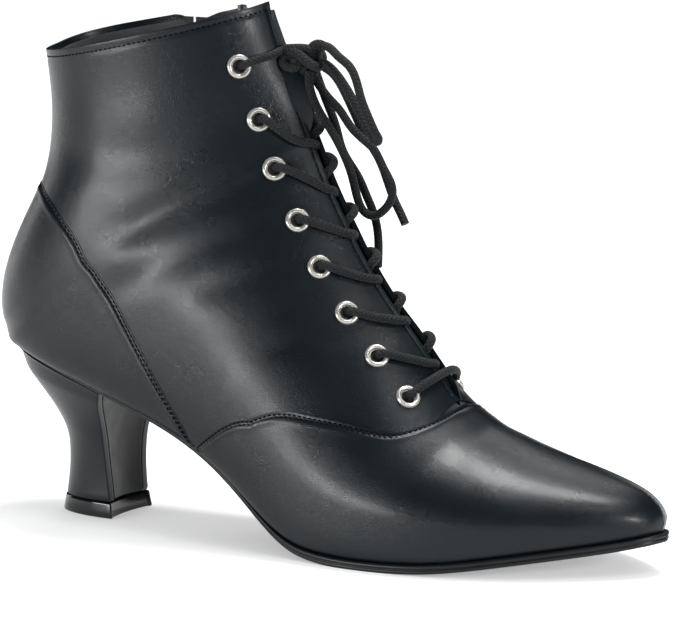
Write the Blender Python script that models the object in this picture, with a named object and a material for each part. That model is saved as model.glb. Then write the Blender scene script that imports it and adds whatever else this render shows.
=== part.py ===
"""Right-foot Victorian lace-up ankle boot with a pointed toe and a flared heel.

Sizes are in millimetres and are scaled to metres when a mesh is made. +X is
toward the toe, +Y toward the inner side of the foot, +Z up, and the sole and
the heel stand on Z = 0.
"""

import math
from collections import namedtuple

import bmesh
import bpy
import numpy as np
from mathutils import Matrix, Vector

MM = 0.001
MERGE = 0.00001
# Moves the finished boot so that its bounding box is centred on the origin.
CENTRE = (127.1, -0.34)

# Walls and clearances
LASTED_WALL = 2.4
PANEL_STEP = 0.6
GAP = 0.3
SOLE_WELT = 1.7
INSOLE_HEIGHTS = (0.35, 2.5)
INSOLE_INSIDE = 0.95

# Throat and tongue
SLIT_HALF = {-1: 1.4, 1: 1.8}
THROAT_FROM = 6.55
TONGUE_THICK = 1.6
TONGUE_UNDER = 1.2
TongueRow = namedtuple("TongueRow", "section half")
# How far the tongue reaches to each side of the ridge, as a share.
TONGUE = (
    TongueRow(5.6, 0.08), TongueRow(6.1, 0.095), TongueRow(6.5, 0.11), TongueRow(6.9, 0.155),
    TongueRow(7.4, 0.20), TongueRow(8.0, 0.23), TongueRow(8.8, 0.245), TongueRow(9.8, 0.245),
    TongueRow(11.0, 0.245), TongueRow(12.3, 0.245), TongueRow(13.8, 0.245), TongueRow(15.5, 0.245),
    TongueRow(17.2, 0.245), TongueRow(19.0, 0.245), TongueRow(20.6, 0.245), TongueRow(22.2, 0.245),
    TongueRow(23.4, 0.245), TongueRow(24.6, 0.24),
)

# The inner front corner of the collar stands this far behind the outer one.
COLLAR_SET_BACK = 14.0
# The inner collar in front of the zip is lower by this, and a little more beside
# the zip.
COLLAR_DROP = 2.5

# Eyelets: radii of the turned ring and its height above the leather
EYELET_RIM = 4.2
EYELET_HOLE = 2.0
EYELET_NECK = 2.55
EYELET_RISE = 1.15
EYELET_SHANK = 1.5
EYELET_STEPS = 9
EYELET_HOLE_IN_WALL = 2.9

# Laces
LACE_RADIUS = 1.5
LACE_OVER_LEATHER = 2.1
LACE_INBOARD = 0.64
KNOT = ((122.6, 0.0, 167.0), (4.6, 5.4, 4.6))

# Inner-side zip: slot, chain, slider and pull tab
ZIP_SLOT = 4.2
ZIP_CHAIN = (3.5, 1.5)
ZIP_LINE = ((57.0, 176.0), (58.5, 120.0), (60.5, 80.0))
ZIP_STOP = 76.0
SLIDER = (7.0, 2.4, 9.0)
PIN_RADIUS = 0.6
PIN_OUT = 4.9
TAB = (3.4, 1.2, 21.0)

Section = namedtuple(
    "Section",
    "top_x top_z base_x base_z feather_out feather_in wide_out wide_in wide_at crown seat dip_out dip_in",
)
# One row for each fan section of the upper, toe to collar. A section runs from
# its top point on the ridge to its base point on the featherline or back seam.
SECTIONS = (
    Section(255.0, 17.4, 254.4, 14.6, 6.0, 6.0, 6.0, 6.0, 0.35, 1.0, 1.0, 0, 0),
    Section(253.6, 21.2, 251.8, 14.2, -0.5, 12.0, -1.5, 13.0, 0.35, 1.0, 1.0, 0, 0),
    Section(249.3, 25.8, 245.6, 13.0, -6.5, 17.0, -8.0, 18.5, 0.35, 1.0, 1.0, 0, 0),
    Section(239.5, 29.8, 236.0, 11.5, -14.0, 24.0, -16.0, 25.8, 0.34, 1.05, 1.0, 0, 0),
    Section(222.0, 34.6, 220.0, 9.1, -24.0, 32.0, -26.5, 34.0, 0.33, 1.1, 1.0, 0, 0),
    Section(202.0, 40.8, 203.0, 6.4, -32.0, 37.0, -34.5, 39.0, 0.32, 1.2, 1.0, 0, 0),
    Section(184.5, 49.3, 186.0, 4.2, -37.0, 39.0, -39.5, 41.0, 0.30, 1.35, 1.0, 0, 0),
    Section(177.6, 57.2, 168.0, 3.4, -39.0, 38.0, -41.5, 40.3, 0.28, 1.5, 1.0, 0, 0),
    Section(170.9, 66.3, 151.0, 3.6, -38.5, 34.5, -41.5, 37.5, 0.27, 1.55, 1.0, 0, 0),
    Section(163.3, 76.2, 136.0, 5.6, -36.0, 29.5, -40.0, 34.0, 0.28, 1.55, 1.0, 0, 0),
    Section(156.2, 84.4, 123.0, 11.3, -32.5, 25.0, -38.0, 31.5, 0.29, 1.55, 1.0, 0, 0),
    Section(149.9, 92.8, 110.0, 20.0, -29.0, 21.0, -36.5, 30.0, 0.31, 1.5, 1.0, 0, 0),
    Section(144.0, 101.7, 96.0, 29.5, -27.0, 18.5, -35.5, 30.0, 0.34, 1.5, 1.0, 0, 0),
    Section(138.7, 110.6, 80.0, 37.8, -25.8, 18.5, -34.5, 30.5, 0.37, 1.45, 1.0, 0, 0),
    Section(134.4, 118.3, 63.0, 44.5, -25.8, 21.0, -34.0, 31.5, 0.40, 1.4, 1.0, 0, 0),
    Section(130.8, 125.3, 45.0, 50.8, -25.8, 24.0, -33.5, 32.3, 0.42, 1.4, 1.0, 0, 0),
    Section(128.0, 131.4, 28.0, 56.0, -24.2, 23.7, -33.2, 32.6, 0.43, 1.35, 1.0, 0, 0),
    Section(126.1, 136.0, 14.0, 60.0, -19.0, 19.0, -33.0, 32.6, 0.43, 1.35, 1.0, 0, 0),
    Section(124.6, 139.2, 6.6, 61.6, -12.0, 12.0, -32.8, 32.4, 0.43, 1.3, 0.95, 0, 0),
    Section(123.2, 142.2, 0.6, 64.8, 0.0, 0.0, -32.6, 32.2, 0.43, 1.3, 0.85, 0, 0),
    Section(120.8, 147.6, -2.0, 75.0, 0.0, 0.0, -32.2, 32.0, 0.44, 1.3, 0.95, 0, 0),
    Section(118.3, 153.6, 0.2, 87.0, 0.0, 0.0, -31.6, 31.4, 0.45, 1.25, 1.0, 0, 0),
    Section(115.8, 160.0, 6.5, 101.0, 0.0, 0.0, -31.0, 30.8, 0.46, 1.2, 1.0, 0, 0),
    Section(113.3, 166.0, 15.0, 117.0, 0.0, 0.0, -30.5, 30.3, 0.46, 1.15, 1.0, 0, 0),
    Section(111.3, 172.0, 19.0, 132.0, 0.0, 0.0, -30.5, 30.3, 0.46, 1.15, 1.0, -0.5, 0.4),
    Section(109.3, 178.0, 19.8, 148.0, 0.0, 0.0, -31.0, 30.8, 0.46, 1.15, 1.0, -1.8, 1.3),
    Section(107.0, 186.0, 18.0, 166.5, 0.0, 0.0, -32.0, 32.0, 0.46, 1.15, 1.0, -3.6, 2.6),
)
SEAT_END = 19.0
COLLAR = len(SECTIONS) - 1.0

# Rows of the upper's mesh, as section numbers, closer together at the seams.
UPPER_ROWS = (
    0, 0.35, 0.8, 1.4, 2.1, 3.0, 4.0, 5.0, 5.8, 6.27, 6.35, 6.55, 6.75, 7.1, 7.6, 8.2, 8.9, 9.6,
    10.3, 11.0, 11.5, 11.9, 12.2, 12.6, 13.2, 14.2, 15.3, 16.4, 17.2, 17.9, 18.5, 19.0, 19.5,
    20.3, 21.3, 22.3, 23.1, 23.6, 24.7, 26.0,
)
TOE_HOLLOW_FROM = 1.4
VAMP_LINE = 6.31
QUARTER_COLUMNS = 7
OUTER_COLUMNS = 6
SEAM_WIDTH = 0.018

Seam = namedtuple("Seam", "section share")
# Where the quarter ends: the vamp seam, then the counter seam. share is the
# part of the way from the ridge to the featherline or the back seam.
QUARTER_EDGE = (
    Seam(0.0, 0.5), Seam(4.3, 0.45), Seam(5.8, 0.26), Seam(6.27, 0.13),
    Seam(6.40, 0.12), Seam(6.66, 0.196), Seam(7.34, 0.273), Seam(8.0, 0.308), Seam(9.0, 0.348),
    Seam(10.2, 0.400), Seam(11.0, 0.453), Seam(11.6, 0.538), Seam(12.0, 0.68), Seam(12.25, 0.84),
    Seam(12.6, 0.85), Seam(13.0, 0.764), Seam(14.0, 0.668), Seam(15.7, 0.571), Seam(17.2, 0.535),
    Seam(18.7, 0.525), Seam(20.0, 0.55), Seam(21.2, 0.595), Seam(22.2, 0.69), Seam(23.0, 0.81),
    Seam(23.5, 0.86), Seam(26.0, 0.86),
)
COUNTER_FADE = (23.1, 23.6)

Eyelet = namedtuple("Eyelet", "section share")
EYELETS = (
    Eyelet(23.47, 0.192), Eyelet(20.71, 0.171), Eyelet(17.17, 0.177), Eyelet(14.31, 0.188),
    Eyelet(12.54, 0.197), Eyelet(10.92, 0.195), Eyelet(9.28, 0.195), Eyelet(7.82, 0.195),
)

SoleRow = namedtuple("SoleRow", "section thick welt")
# Thickness of the sole and how far it stands out past the featherline.
SOLE = (
    SoleRow(0.0, 3.2, 1.0), SoleRow(7.0, 3.2, 1.0), SoleRow(8.0, 3.3, 1.0), SoleRow(9.0, 3.1, 0.8),
    SoleRow(10.0, 2.5, 0.5), SoleRow(11.0, 2.0, 0.3), SoleRow(12.0, 1.6, 0.1), SoleRow(14.0, 1.3, 0.0),
    SoleRow(16.0, 0.9, -0.5), SoleRow(19.0, 0.9, -0.5),
)
SOLE_ROWS = (
    0, 0.3, 0.7, 1.2, 1.8, 2.5, 3.2, 4.0, 4.8, 5.6, 6.4, 7.0, 7.5, 8.0, 8.6, 9.2, 9.8, 10.4, 11.0,
    11.7, 12.4, 13.2, 14.0, 15.0, 16.0, 16.8, 17.5, 18.0, 18.5, 18.9,
)
INSOLE_ROWS = (1.9,) + SOLE_ROWS[5:-1]

HeelRow = namedtuple("HeelRow", "back_z front_z back_x front_x half power")
# Heel sections from the floor up: heights at back and breast, the two X
# positions, half width at the breast and how square the back is.
HEEL = (
    HeelRow(0.0, 0.0, 21.0, 47.8, 13.6, 2.2),
    HeelRow(6.0, 6.0, 22.4, 46.6, 13.0, 2.2),
    HeelRow(14.0, 14.0, 23.8, 45.8, 13.2, 2.2),
    HeelRow(21.0, 21.0, 24.4, 45.4, 13.9, 2.2),
    HeelRow(28.0, 27.0, 24.0, 45.4, 14.9, 2.2),
    HeelRow(34.5, 32.0, 21.6, 45.7, 16.4, 2.25),
    HeelRow(41.5, 36.5, 17.0, 46.3, 18.6, 2.3),
    HeelRow(48.5, 41.0, 11.8, 47.4, 21.4, 2.4),
    HeelRow(54.5, 44.8, 7.9, 49.0, 23.9, 2.5),
)
HEEL_SEAT = HeelRow(0.0, 0.0, 5.6, 50.5, 25.2, 2.6)
TOP_PIECE_HIGH = 5.7
BREAST_HOLLOW = 1.4

# Routes of the free laces, from the knot out.
LOOP_UPPER = (
    (126.4, -0.5, 170.2), (128.0, -0.9, 171.3), (131.6, -2.7, 170.6), (135.6, -4.0, 168.1),
    (140.5, -5.5, 165.3), (143.8, -6.5, 160.4), (146.2, -7.5, 154.7), (149.0, -8.0, 149.3),
    (151.8, -8.0, 143.9), (152.6, -7.0, 141.6), (150.9, -5.5, 140.4), (147.6, -4.3, 143.5),
    (144.3, -3.8, 148.4), (140.2, -3.2, 154.3), (135.6, -2.4, 159.9), (131.0, -2.0, 164.2),
    (127.1, -1.2, 165.7),
)
LOOP_LOWER = (
    (122.3, 1.6, 162.1), (122.5, 2.4, 159.2), (126.5, 4.0, 153.2), (130.1, 6.0, 148.6),
    (133.3, 8.0, 142.9), (137.3, 10.0, 138.4), (140.5, 12.0, 134.6), (143.1, 13.0, 129.1),
    (146.0, 13.5, 123.7), (146.4, 13.5, 119.0), (144.1, 13.0, 114.7), (140.3, 12.0, 112.1),
    (136.9, 11.0, 113.3), (135.2, 10.0, 116.9), (134.4, 9.0, 121.3), (133.4, 8.0, 126.8),
    (131.9, 6.0, 133.0), (129.4, 3.0, 140.4), (126.6, 0.0, 146.9), (124.2, -1.6, 152.6),
    (122.8, -2.4, 158.3), (122.8, -2.1, 162.5),
)
END_FRONT = (
    (125.7, 2.2, 163.8), (128.6, 3.4, 161.6), (130.6, 5.2, 158.0), (131.2, 8.4, 153.6),
    (132.0, 12.0, 147.9), (133.4, 15.6, 141.0), (135.6, 18.2, 135.3), (138.2, 19.6, 130.1),
    (141.1, 19.5, 123.7), (144.1, 19.0, 117.3), (146.8, 18.5, 113.0), (149.2, 18.0, 109.0),
)
END_SIDE = (
    (120.6, 4.6, 164.2), (119.7, 6.7, 162.6), (121.4, 8.6, 155.4), (123.6, 10.4, 148.0),
    (125.0, 12.4, 141.5), (126.4, 13.4, 135.0), (128.2, 15.5, 129.6), (130.6, 18.2, 123.9),
    (133.0, 19.8, 117.2), (135.0, 21.2, 111.0), (136.0, 22.3, 103.7), (136.0, 22.6, 96.7),
    (135.4, 23.4, 92.5),
)


def natural_bends(values):
    """Second differences of a natural cubic spline through evenly spaced rows."""
    count = len(values)
    system = np.eye(count)
    right = np.zeros_like(values)
    for i in range(1, count - 1):
        system[i, i - 1 : i + 2] = (1, 4, 1)
        right[i] = 6 * (values[i + 1] - 2 * values[i] + values[i - 1])
    return np.linalg.solve(system, right)


TABLE = np.array(SECTIONS, float)
BENDS = natural_bends(TABLE)


def section_at(t):
    """The section values at any place along the table."""
    i = int(min(max(math.floor(t), 0), len(TABLE) - 2))
    s = t - i
    curve_a, curve_b = (1 - s) ** 3 - (1 - s), s**3 - s
    row = (1 - s) * TABLE[i] + s * TABLE[i + 1] + (curve_a * BENDS[i] + curve_b * BENDS[i + 1]) / 6
    if t >= SEAT_END:
        row[4] = row[5] = 0.0
    return Section(*row)


def ridge_y(top_x):
    """The ridge swings inward toward the toe, which makes this a right boot."""
    return 6.0 * min(max((top_x - 150.0) / 104.0, 0.0), 1.0) ** 1.2


def smooth(value):
    value = min(max(value, 0.0), 1.0)
    return value * value * (3 - 2 * value)


def surface(t, v, inset=0.0):
    """A point of the upper. v runs from -1 (outer side) over the ridge at 0 to 1."""
    row = section_at(t)
    top, base = np.array(row[0:2]), np.array(row[2:4])
    along = (top - base) / np.linalg.norm(top - base)
    top, base = top - along * inset, base + along * inset
    height = np.linalg.norm(top - base)
    ridge = ridge_y(row.top_x)
    wide, feather = (row.wide_out, row.feather_out) if v < 0 else (row.wide_in, row.feather_in)
    wide -= math.copysign(min(inset, abs(wide - ridge) * 0.6), wide - ridge)
    share = min(abs(v), 1.0)
    if share <= 0.5:
        turn = math.pi * share
        y = ridge + (wide - ridge) * math.sin(turn) ** row.crown
        rise = height * (row.wide_at + (1 - row.wide_at) * math.cos(turn))
    else:
        turn = math.pi * (1 - share)
        y = feather + (wide - feather) * math.sin(turn) ** row.seat
        rise = height * row.wide_at * (1 - math.cos(turn))
    x, z = base + along * rise
    if v < 0:
        z += row.dip_out * math.sin(math.pi * share)
    else:
        z += row.dip_in * math.sin(math.pi * share**2.4)
        lean = smooth((z - 148.0) / 38.0)
        x -= COLLAR_SET_BACK * lean * smooth(1 - share / 0.72)
        z -= COLLAR_DROP * (1 + 0.6 * smooth(share / 0.1 - 3.8)) * lean * smooth((0.57 - share) / 0.08)
    return np.array((x, y, z))


def wrapped(t, v, inset):
    """surface() that carries on over the back seam."""
    if abs(v) > 1 and t >= SEAT_END:
        v -= math.copysign(2, v)
    return surface(t, max(-1.0, min(1.0, v)), inset)


def normal(t, v, inset=0.0):
    step = 0.03
    across = wrapped(t, v + step, inset) - wrapped(t, v - step, inset)
    along = surface(min(t + step, COLLAR), v, inset) - surface(max(t - step, 0), v, inset)
    out = np.cross(across, along)
    return out / np.linalg.norm(out)


def locate(x, z, inset=0.0):
    """Section number and share on the inner side for a place seen from the side."""
    guess = np.array((22.0, 0.5))
    for _ in range(30):
        here = surface(*guess, inset)[[0, 2]]
        slopes = [(surface(*(guess + d), inset)[[0, 2]] - here) / 1e-3 for d in np.eye(2) * 1e-3]
        guess += np.linalg.solve(np.array(slopes).T, np.array((x, z)) - here) * 0.7
        guess = np.clip(guess, (8.0, 0.2), (COLLAR + 1.5, 0.9))
    return guess


def placed(point):
    return Vector(((point[0] - CENTRE[0]) * MM, (point[1] - CENTRE[1]) * MM, point[2] * MM))


def material(name, colour, rough, metal=0.0):
    made = bpy.data.materials.new(name)
    made.use_nodes = True
    shader = made.node_tree.nodes["Principled BSDF"]
    shader.inputs["Base Color"].default_value = (*colour, 1.0)
    shader.inputs["Roughness"].default_value = rough
    shader.inputs["Metallic"].default_value = metal
    return made


def add_object(name, data, finish, home):
    made = bpy.data.objects.new(name, data)
    data.materials.append(finish)
    home.objects.link(made)
    return made


def mesh_object(name, points, faces, finish, home):
    """A closed mesh from millimetre points, welded and with its normals outward."""
    data = bpy.data.meshes.new(name)
    data.from_pydata([placed(p) for p in points], [], faces)
    work = bmesh.new()
    work.from_mesh(data)
    bmesh.ops.remove_doubles(work, verts=work.verts, dist=MERGE)
    bmesh.ops.recalc_face_normals(work, faces=work.faces)
    work.to_mesh(data)
    work.free()
    return add_object(name, data, finish, home)


def lofted(name, rings, finish, home):
    """A closed solid through rings that each have the same number of points."""
    size = len(rings[0])
    faces = [tuple(range(size)), tuple(range((len(rings) - 1) * size, len(rings) * size))]
    for i in range(len(rings) - 1):
        for j in range(size):
            k = (j + 1) % size
            faces.append((i * size + j, i * size + k, (i + 1) * size + k, (i + 1) * size + j))
    return mesh_object(name, [p for ring in rings for p in ring], faces, finish, home)


def cut(target, cutter):
    step = target.modifiers.new("cut_" + cutter.name, "BOOLEAN")
    step.operation = "DIFFERENCE"
    step.solver = "EXACT"
    step.object = cutter


def quarter_edge(t):
    return float(np.interp(t, [s.section for s in QUARTER_EDGE], [s.share for s in QUARTER_EDGE]))


def slit_share(t, side):
    """How far from the ridge the facing's edge lies, zero below the throat."""
    if t <= THROAT_FROM:
        return 0.0
    row = section_at(t)
    half = SLIT_HALF[side] * min(1.0, (t - THROAT_FROM) / 0.5) ** 0.5
    wide = row.wide_out if side < 0 else row.wide_in
    return math.asin((half / abs(wide - ridge_y(row.top_x))) ** (1 / row.crown)) / math.pi


def upper_columns(t, side):
    """(share, inset) of each point down one side of a row of the upper."""
    edge = quarter_edge(t)
    sunk = PANEL_STEP if t > VAMP_LINE else 0.0
    inner = [(s, sunk) for s in np.linspace(slit_share(t, side), edge, QUARTER_COLUMNS + 1)]
    start, end = COUNTER_FADE
    fade = PANEL_STEP * smooth((t - start) / (end - start))
    return inner + [(s, fade) for s in np.linspace(edge + SEAM_WIDTH, 1.0, OUTER_COLUMNS + 1)]


def quads(first, second):
    """Faces between two lines of point numbers."""
    pairs = zip(zip(first, first[1:]), zip(second, second[1:]))
    return [(a, b, d, c) for (a, b), (c, d) in pairs]


def build_upper(finish, home):
    """One hollow solid: outer and inner skins joined round every open edge."""
    points, outer, inner = [], {}, {}
    for side in (-1, 1):
        for i, t in enumerate(UPPER_ROWS):
            columns = upper_columns(t, side)
            outer[side, i] = list(range(len(points), len(points) + len(columns)))
            points += [surface(t, side * s, inset) for s, inset in columns]
            inner[side, i] = list(range(len(points), len(points) + len(columns)))
            points += [surface(t, side * s, LASTED_WALL) for s, inset in columns]
    last = len(UPPER_ROWS) - 1
    toe = UPPER_ROWS.index(TOE_HOLLOW_FROM)
    throat = UPPER_ROWS.index(THROAT_FROM)
    heel = UPPER_ROWS.index(SEAT_END)
    faces = []
    for side in (-1, 1):
        for i in range(last):
            faces += quads(outer[side, i], outer[side, i + 1])
            if i >= toe:
                faces += quads(inner[side, i], inner[side, i + 1])
        faces += quads(outer[side, last], inner[side, last])
        for edge, rows in ((0, range(throat, last + 1)), (-1, range(toe, heel + 1))):
            faces += quads([outer[side, i][edge] for i in rows], [inner[side, i][edge] for i in rows])
    faces += quads(inner[-1, toe], inner[1, toe])
    faces.append((outer[-1, toe][-1], outer[1, toe][-1], inner[1, toe][-1], inner[-1, toe][-1]))
    rows = range(toe + 1)
    faces += quads([outer[-1, i][-1] for i in rows], [outer[1, i][-1] for i in rows])
    return mesh_object("upper", points, used_faces(faces), finish, home)


def used_faces(faces):
    return [face for face in faces if len(set(face)) > 2]


def drop_loose(obj):
    work = bmesh.new()
    work.from_mesh(obj.data)
    bmesh.ops.delete(work, geom=[v for v in work.verts if not v.link_faces], context="VERTS")
    work.to_mesh(obj.data)
    work.free()


def eyelet_frame(place, side):
    """A matrix that stands the turned ring on the quarter, axis outward."""
    t, v = place.section, side * place.share
    out = Vector(normal(t, v, PANEL_STEP))
    made = out.to_track_quat("Z", "Y").to_matrix().to_4x4()
    made.translation = placed(surface(t, v, PANEL_STEP))
    return made


def turned(profile, steps):
    """A solid of revolution about Z from a closed profile of (radius, height)."""
    work = bmesh.new()
    ring = [work.verts.new((r * MM, 0.0, z * MM)) for r, z in profile]
    edges = [work.edges.new((a, b)) for a, b in zip(ring, ring[1:] + ring[:1])]
    bmesh.ops.spin(
        work, geom=ring + edges, cent=(0, 0, 0), axis=(0, 0, 1), steps=steps, angle=math.tau, use_merge=False
    )
    bmesh.ops.remove_doubles(work, verts=work.verts, dist=MERGE)
    bmesh.ops.recalc_face_normals(work, faces=work.faces)
    return work


def bmesh_object(name, work, frame, finish, home):
    data = bpy.data.meshes.new(name)
    work.to_mesh(data)
    work.free()
    data.transform(frame)
    return add_object(name, data, finish, home)


def build_eyelets(finish, home):
    low = 0.45
    profile = (
        (EYELET_HOLE, -EYELET_SHANK), (EYELET_HOLE, 0.8), (EYELET_HOLE + 0.95, EYELET_RISE + low),
        (EYELET_RIM, low), (EYELET_NECK, low),
        (EYELET_NECK, -EYELET_SHANK),
    )
    for side, word in ((-1, "outer"), (1, "inner")):
        for number, place in enumerate(EYELETS, 1):
            frame = eyelet_frame(place, side)
            bmesh_object(f"eyelet_{word}_{number}", turned(profile, EYELET_STEPS), frame, finish, home)


def eyelet_cutter(finish, home):
    work = bmesh.new()
    for side in (-1, 1):
        for place in EYELETS:
            bmesh.ops.create_cone(
                work, cap_ends=True, segments=8, radius1=EYELET_HOLE_IN_WALL * MM,
                radius2=EYELET_HOLE_IN_WALL * MM, depth=12 * MM, matrix=eyelet_frame(place, side),
            )
    return bmesh_object("eyelet_holes", work, Matrix(), finish, home)


def zip_stations(z_from, z_to, count):
    """Points down the zip with the outward and forward directions at each."""
    heights = [z for _, z in reversed(ZIP_LINE)]
    fronts = [x for x, _ in reversed(ZIP_LINE)]
    stations = []
    for z in np.linspace(z_from, z_to, count):
        x = float(np.interp(z, heights, fronts))
        t, v = locate(x, min(z, 173.0), PANEL_STEP)
        out = normal(min(t, COLLAR - 0.1), v, PANEL_STEP)
        point = surface(t, v, PANEL_STEP) + np.array((0, 0, z - min(z, 173.0)))
        out[0] = 0.0
        stations.append((point, out / np.linalg.norm(out), np.array((1.0, 0.0, 0.0))))
    return stations


def zip_bar(name, span, width, depths, finish, home):
    rings = []
    for point, out, front in zip_stations(*span):
        corners = ((-1, depths[0]), (1, depths[0]), (1, depths[1]), (-1, depths[1]))
        rings.append([point + front * side * width / 2 + out * depth for side, depth in corners])
    return lofted(name, rings, finish, home)


def block(work, size, centre):
    frame = Matrix.Translation(placed(centre)) @ Matrix.Diagonal((*[s * MM for s in size], 1.0))
    return bmesh.ops.create_cube(work, size=1.0, matrix=frame)["verts"]


def union(obj, other):
    step = obj.modifiers.new("join_" + other.name, "BOOLEAN")
    step.operation = "UNION"
    step.solver = "EXACT"
    step.object = other


def rod(work, radius, length, centre, segments=16):
    """A rod along X."""
    frame = Matrix.Translation(placed(centre)) @ Matrix.Rotation(math.pi / 2, 4, "Y")
    bmesh.ops.create_cone(
        work, cap_ends=True, segments=segments, radius1=radius * MM, radius2=radius * MM,
        depth=length * MM, matrix=frame,
    )


def build_zip(finish, home, helpers):
    """Chain in its slot, slider with two ears and a pin, and the hanging tab."""
    zip_bar("zip_chain", (171.5, ZIP_STOP + 0.5, 9), ZIP_CHAIN[0], (-0.25 - ZIP_CHAIN[1], -0.25), finish, home)
    point = zip_stations(166.0, 160.0, 2)[0][0]
    face = point[1] + 0.7
    centre = (point[0], face + SLIDER[1] / 2, point[2])
    pin = (point[0], point[1] + PIN_OUT, point[2] + 0.8)

    body = bmesh.new()
    block(body, SLIDER, centre)
    bmesh.ops.bevel(body, geom=body.edges[:], offset=0.7 * MM, segments=2, profile=0.5, affect="EDGES")
    slider = bmesh_object("zip_slider", body, Matrix(), finish, home)
    ears = bmesh.new()
    reach = pin[1] + 1.2 - centre[1]
    for side in (-1, 1):
        block(ears, (1.0, reach, 2.4), (pin[0] + side * 2.7, centre[1] + reach / 2, pin[2]))
    union(slider, bmesh_object("slider_ears", ears, Matrix(), finish, helpers))
    bar = bmesh.new()
    rod(bar, PIN_RADIUS, 5.6, pin)
    union(slider, bmesh_object("slider_pin", bar, Matrix(), finish, helpers))

    plate = bmesh.new()
    width, thick, long = TAB
    block(plate, (width + 1.6, thick, long - 3), (pin[0], pin[1], pin[2] - 3.0 - (long - 3) / 2))
    tall = [e for e in plate.edges if abs(e.verts[0].co.y - e.verts[1].co.y) > 0.5 * MM]
    bmesh.ops.bevel(plate, geom=tall, offset=1.4 * MM, segments=3, profile=0.5, affect="EDGES")
    tab = bmesh_object("zip_pull_tab", plate, Matrix(), finish, home)
    neck = bmesh.new()
    block(neck, (2.6, thick, 4.0), (pin[0], pin[1], pin[2] - 2.4))
    union(tab, bmesh_object("tab_neck", neck, Matrix(), finish, helpers))
    barrel = bmesh.new()
    rod(barrel, 1.45, width, pin, 20)
    union(tab, bmesh_object("tab_barrel", barrel, Matrix(), finish, helpers))
    hole = bmesh.new()
    rod(hole, PIN_RADIUS + 0.2, 9.0, pin, 20)
    cut(tab, bmesh_object("tab_hole", hole, Matrix(), finish, helpers))


def outline(t, side, margin):
    """Featherline point in plan, moved outward by margin, with its height."""
    before, here, after = (section_at(min(max(t + d, 0.0), SEAT_END - 0.001)) for d in (-0.04, 0, 0.04))
    column = 4 if side < 0 else 5
    run = np.array((after[2] - before[2], after[column] - before[column]))
    run /= np.linalg.norm(run)
    out = np.array((-run[1], run[0])) * -side
    return here[2] + out[0] * margin, here[column] + out[1] * margin, here[3]


def interp_rows(t, rows, column):
    return float(np.interp(t, [r[0] for r in rows], [r[column] for r in rows]))


def sole_ring(t):
    """Cross-section of the sole with a rolled upper edge and a bevelled lower one."""
    thick, welt = interp_rows(t, SOLE, 1), interp_rows(t, SOLE, 2)
    ring = []
    for side in (-1, 1):
        margin = SOLE_WELT * welt
        steps = ((margin - 0.5, 0.0), (margin, 0.28), (margin - 0.1, 0.72), (margin - 0.8, 1.0))
        half = []
        for out, down in steps:
            x, y, z = outline(t, side, out)
            half.append((x, y, max(z - GAP - thick * down, 0.0)))
        ring += half[::side]
    return ring


def build_sole(finish, home):
    return lofted("outsole", [sole_ring(t) for t in SOLE_ROWS], finish, home)


def build_insole(finish, home):
    rings = []
    for t in INSOLE_ROWS:
        row = section_at(t)
        along = np.array((row.top_x - row.base_x, row.top_z - row.base_z))
        along /= np.linalg.norm(along)
        ring = []
        for side, heights in ((-1, INSOLE_HEIGHTS), (1, INSOLE_HEIGHTS[::-1])):
            x, y, z = outline(t, side, -INSOLE_INSIDE)
            ring += [(x + along[0] * h, y, z + along[1] * h) for h in heights]
        rings.append(ring)
    return lofted("insole", rings, finish, home)


def build_tongue(finish, home):
    """A curved leaf that follows the inside of the throat."""
    rings = []
    for t, half in TONGUE:
        shares = np.linspace(-half, half, 9)
        near = LASTED_WALL + TONGUE_UNDER
        ring = [surface_no_set_back(t, v, near) for v in shares]
        ring += [surface_no_set_back(t, v, near + TONGUE_THICK) for v in shares[::-1]]
        rings.append(ring)
    return lofted("tongue", rings, finish, home)


def surface_no_set_back(t, v, inset):
    """The tongue keeps its own shape where the inner collar corner leans back."""
    point = surface(t, v, inset)
    if v > 0:
        mirror = surface(t, -v, inset)
        return np.array((min(point[0], mirror[0]), point[1], min(point[2], mirror[2])))
    return point


def heel_ring(row, height_at, hollow=BREAST_HOLLOW):
    """Half outline from the back to the breast corner, then the hollow breast, mirrored."""
    half = []
    length = row.front_x - row.back_x
    for angle in np.linspace(0, math.pi / 2, 9):
        x = row.front_x - length * math.cos(angle) ** (2 / row.power)
        y = row.half * math.sin(angle) ** (2 / row.power)
        half.append((x, y, height_at(x)))
    breast = []
    for share in (0.86, 0.45):
        x = row.front_x - hollow * (1 - share**2)
        breast.append((x, row.half * share, height_at(x)))
    side = half[1:] + breast
    middle = [(row.front_x - hollow, 0.0, height_at(row.front_x - hollow))]
    return [half[0]] + side + middle + [(x, -y, z) for x, y, z in reversed(side)]


def level(row):
    slope = (row.front_z - row.back_z) / (row.front_x - row.back_x)
    return lambda x: row.back_z + slope * (x - row.back_x)


def seat_height(x):
    """Height of the underside of the sole over the heel."""
    stops = np.linspace(18.9, 13.0, 40)
    rows = [section_at(t) for t in stops]
    under = [r.base_z - 2 * GAP - interp_rows(t, SOLE, 1) for t, r in zip(stops, rows)]
    return float(np.interp(x, [r.base_x for r in rows], under))


def mirrored_fill(ring, first):
    """Faces across a ring from point 0, pairing each point with its mirror."""
    size = len(ring)
    left = [first + k for k in range(size // 2 + 1)]
    right = [first] + [first + size - k for k in range(1, size // 2)] + [first + size // 2]
    return used_faces(quads(left, right))


def ring_solid(name, rings, finish, home):
    size = len(rings[0])
    faces = mirrored_fill(rings[0], 0) + mirrored_fill(rings[-1], (len(rings) - 1) * size)
    for i in range(len(rings) - 1):
        first = [i * size + j % size for j in range(size + 1)]
        faces += quads(first, [j + size for j in first])
    return mesh_object(name, [p for ring in rings for p in ring], faces, finish, home)


def blend(a, b, share):
    return HeelRow(*[(1 - share) * x + share * y for x, y in zip(a, b)])


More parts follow.
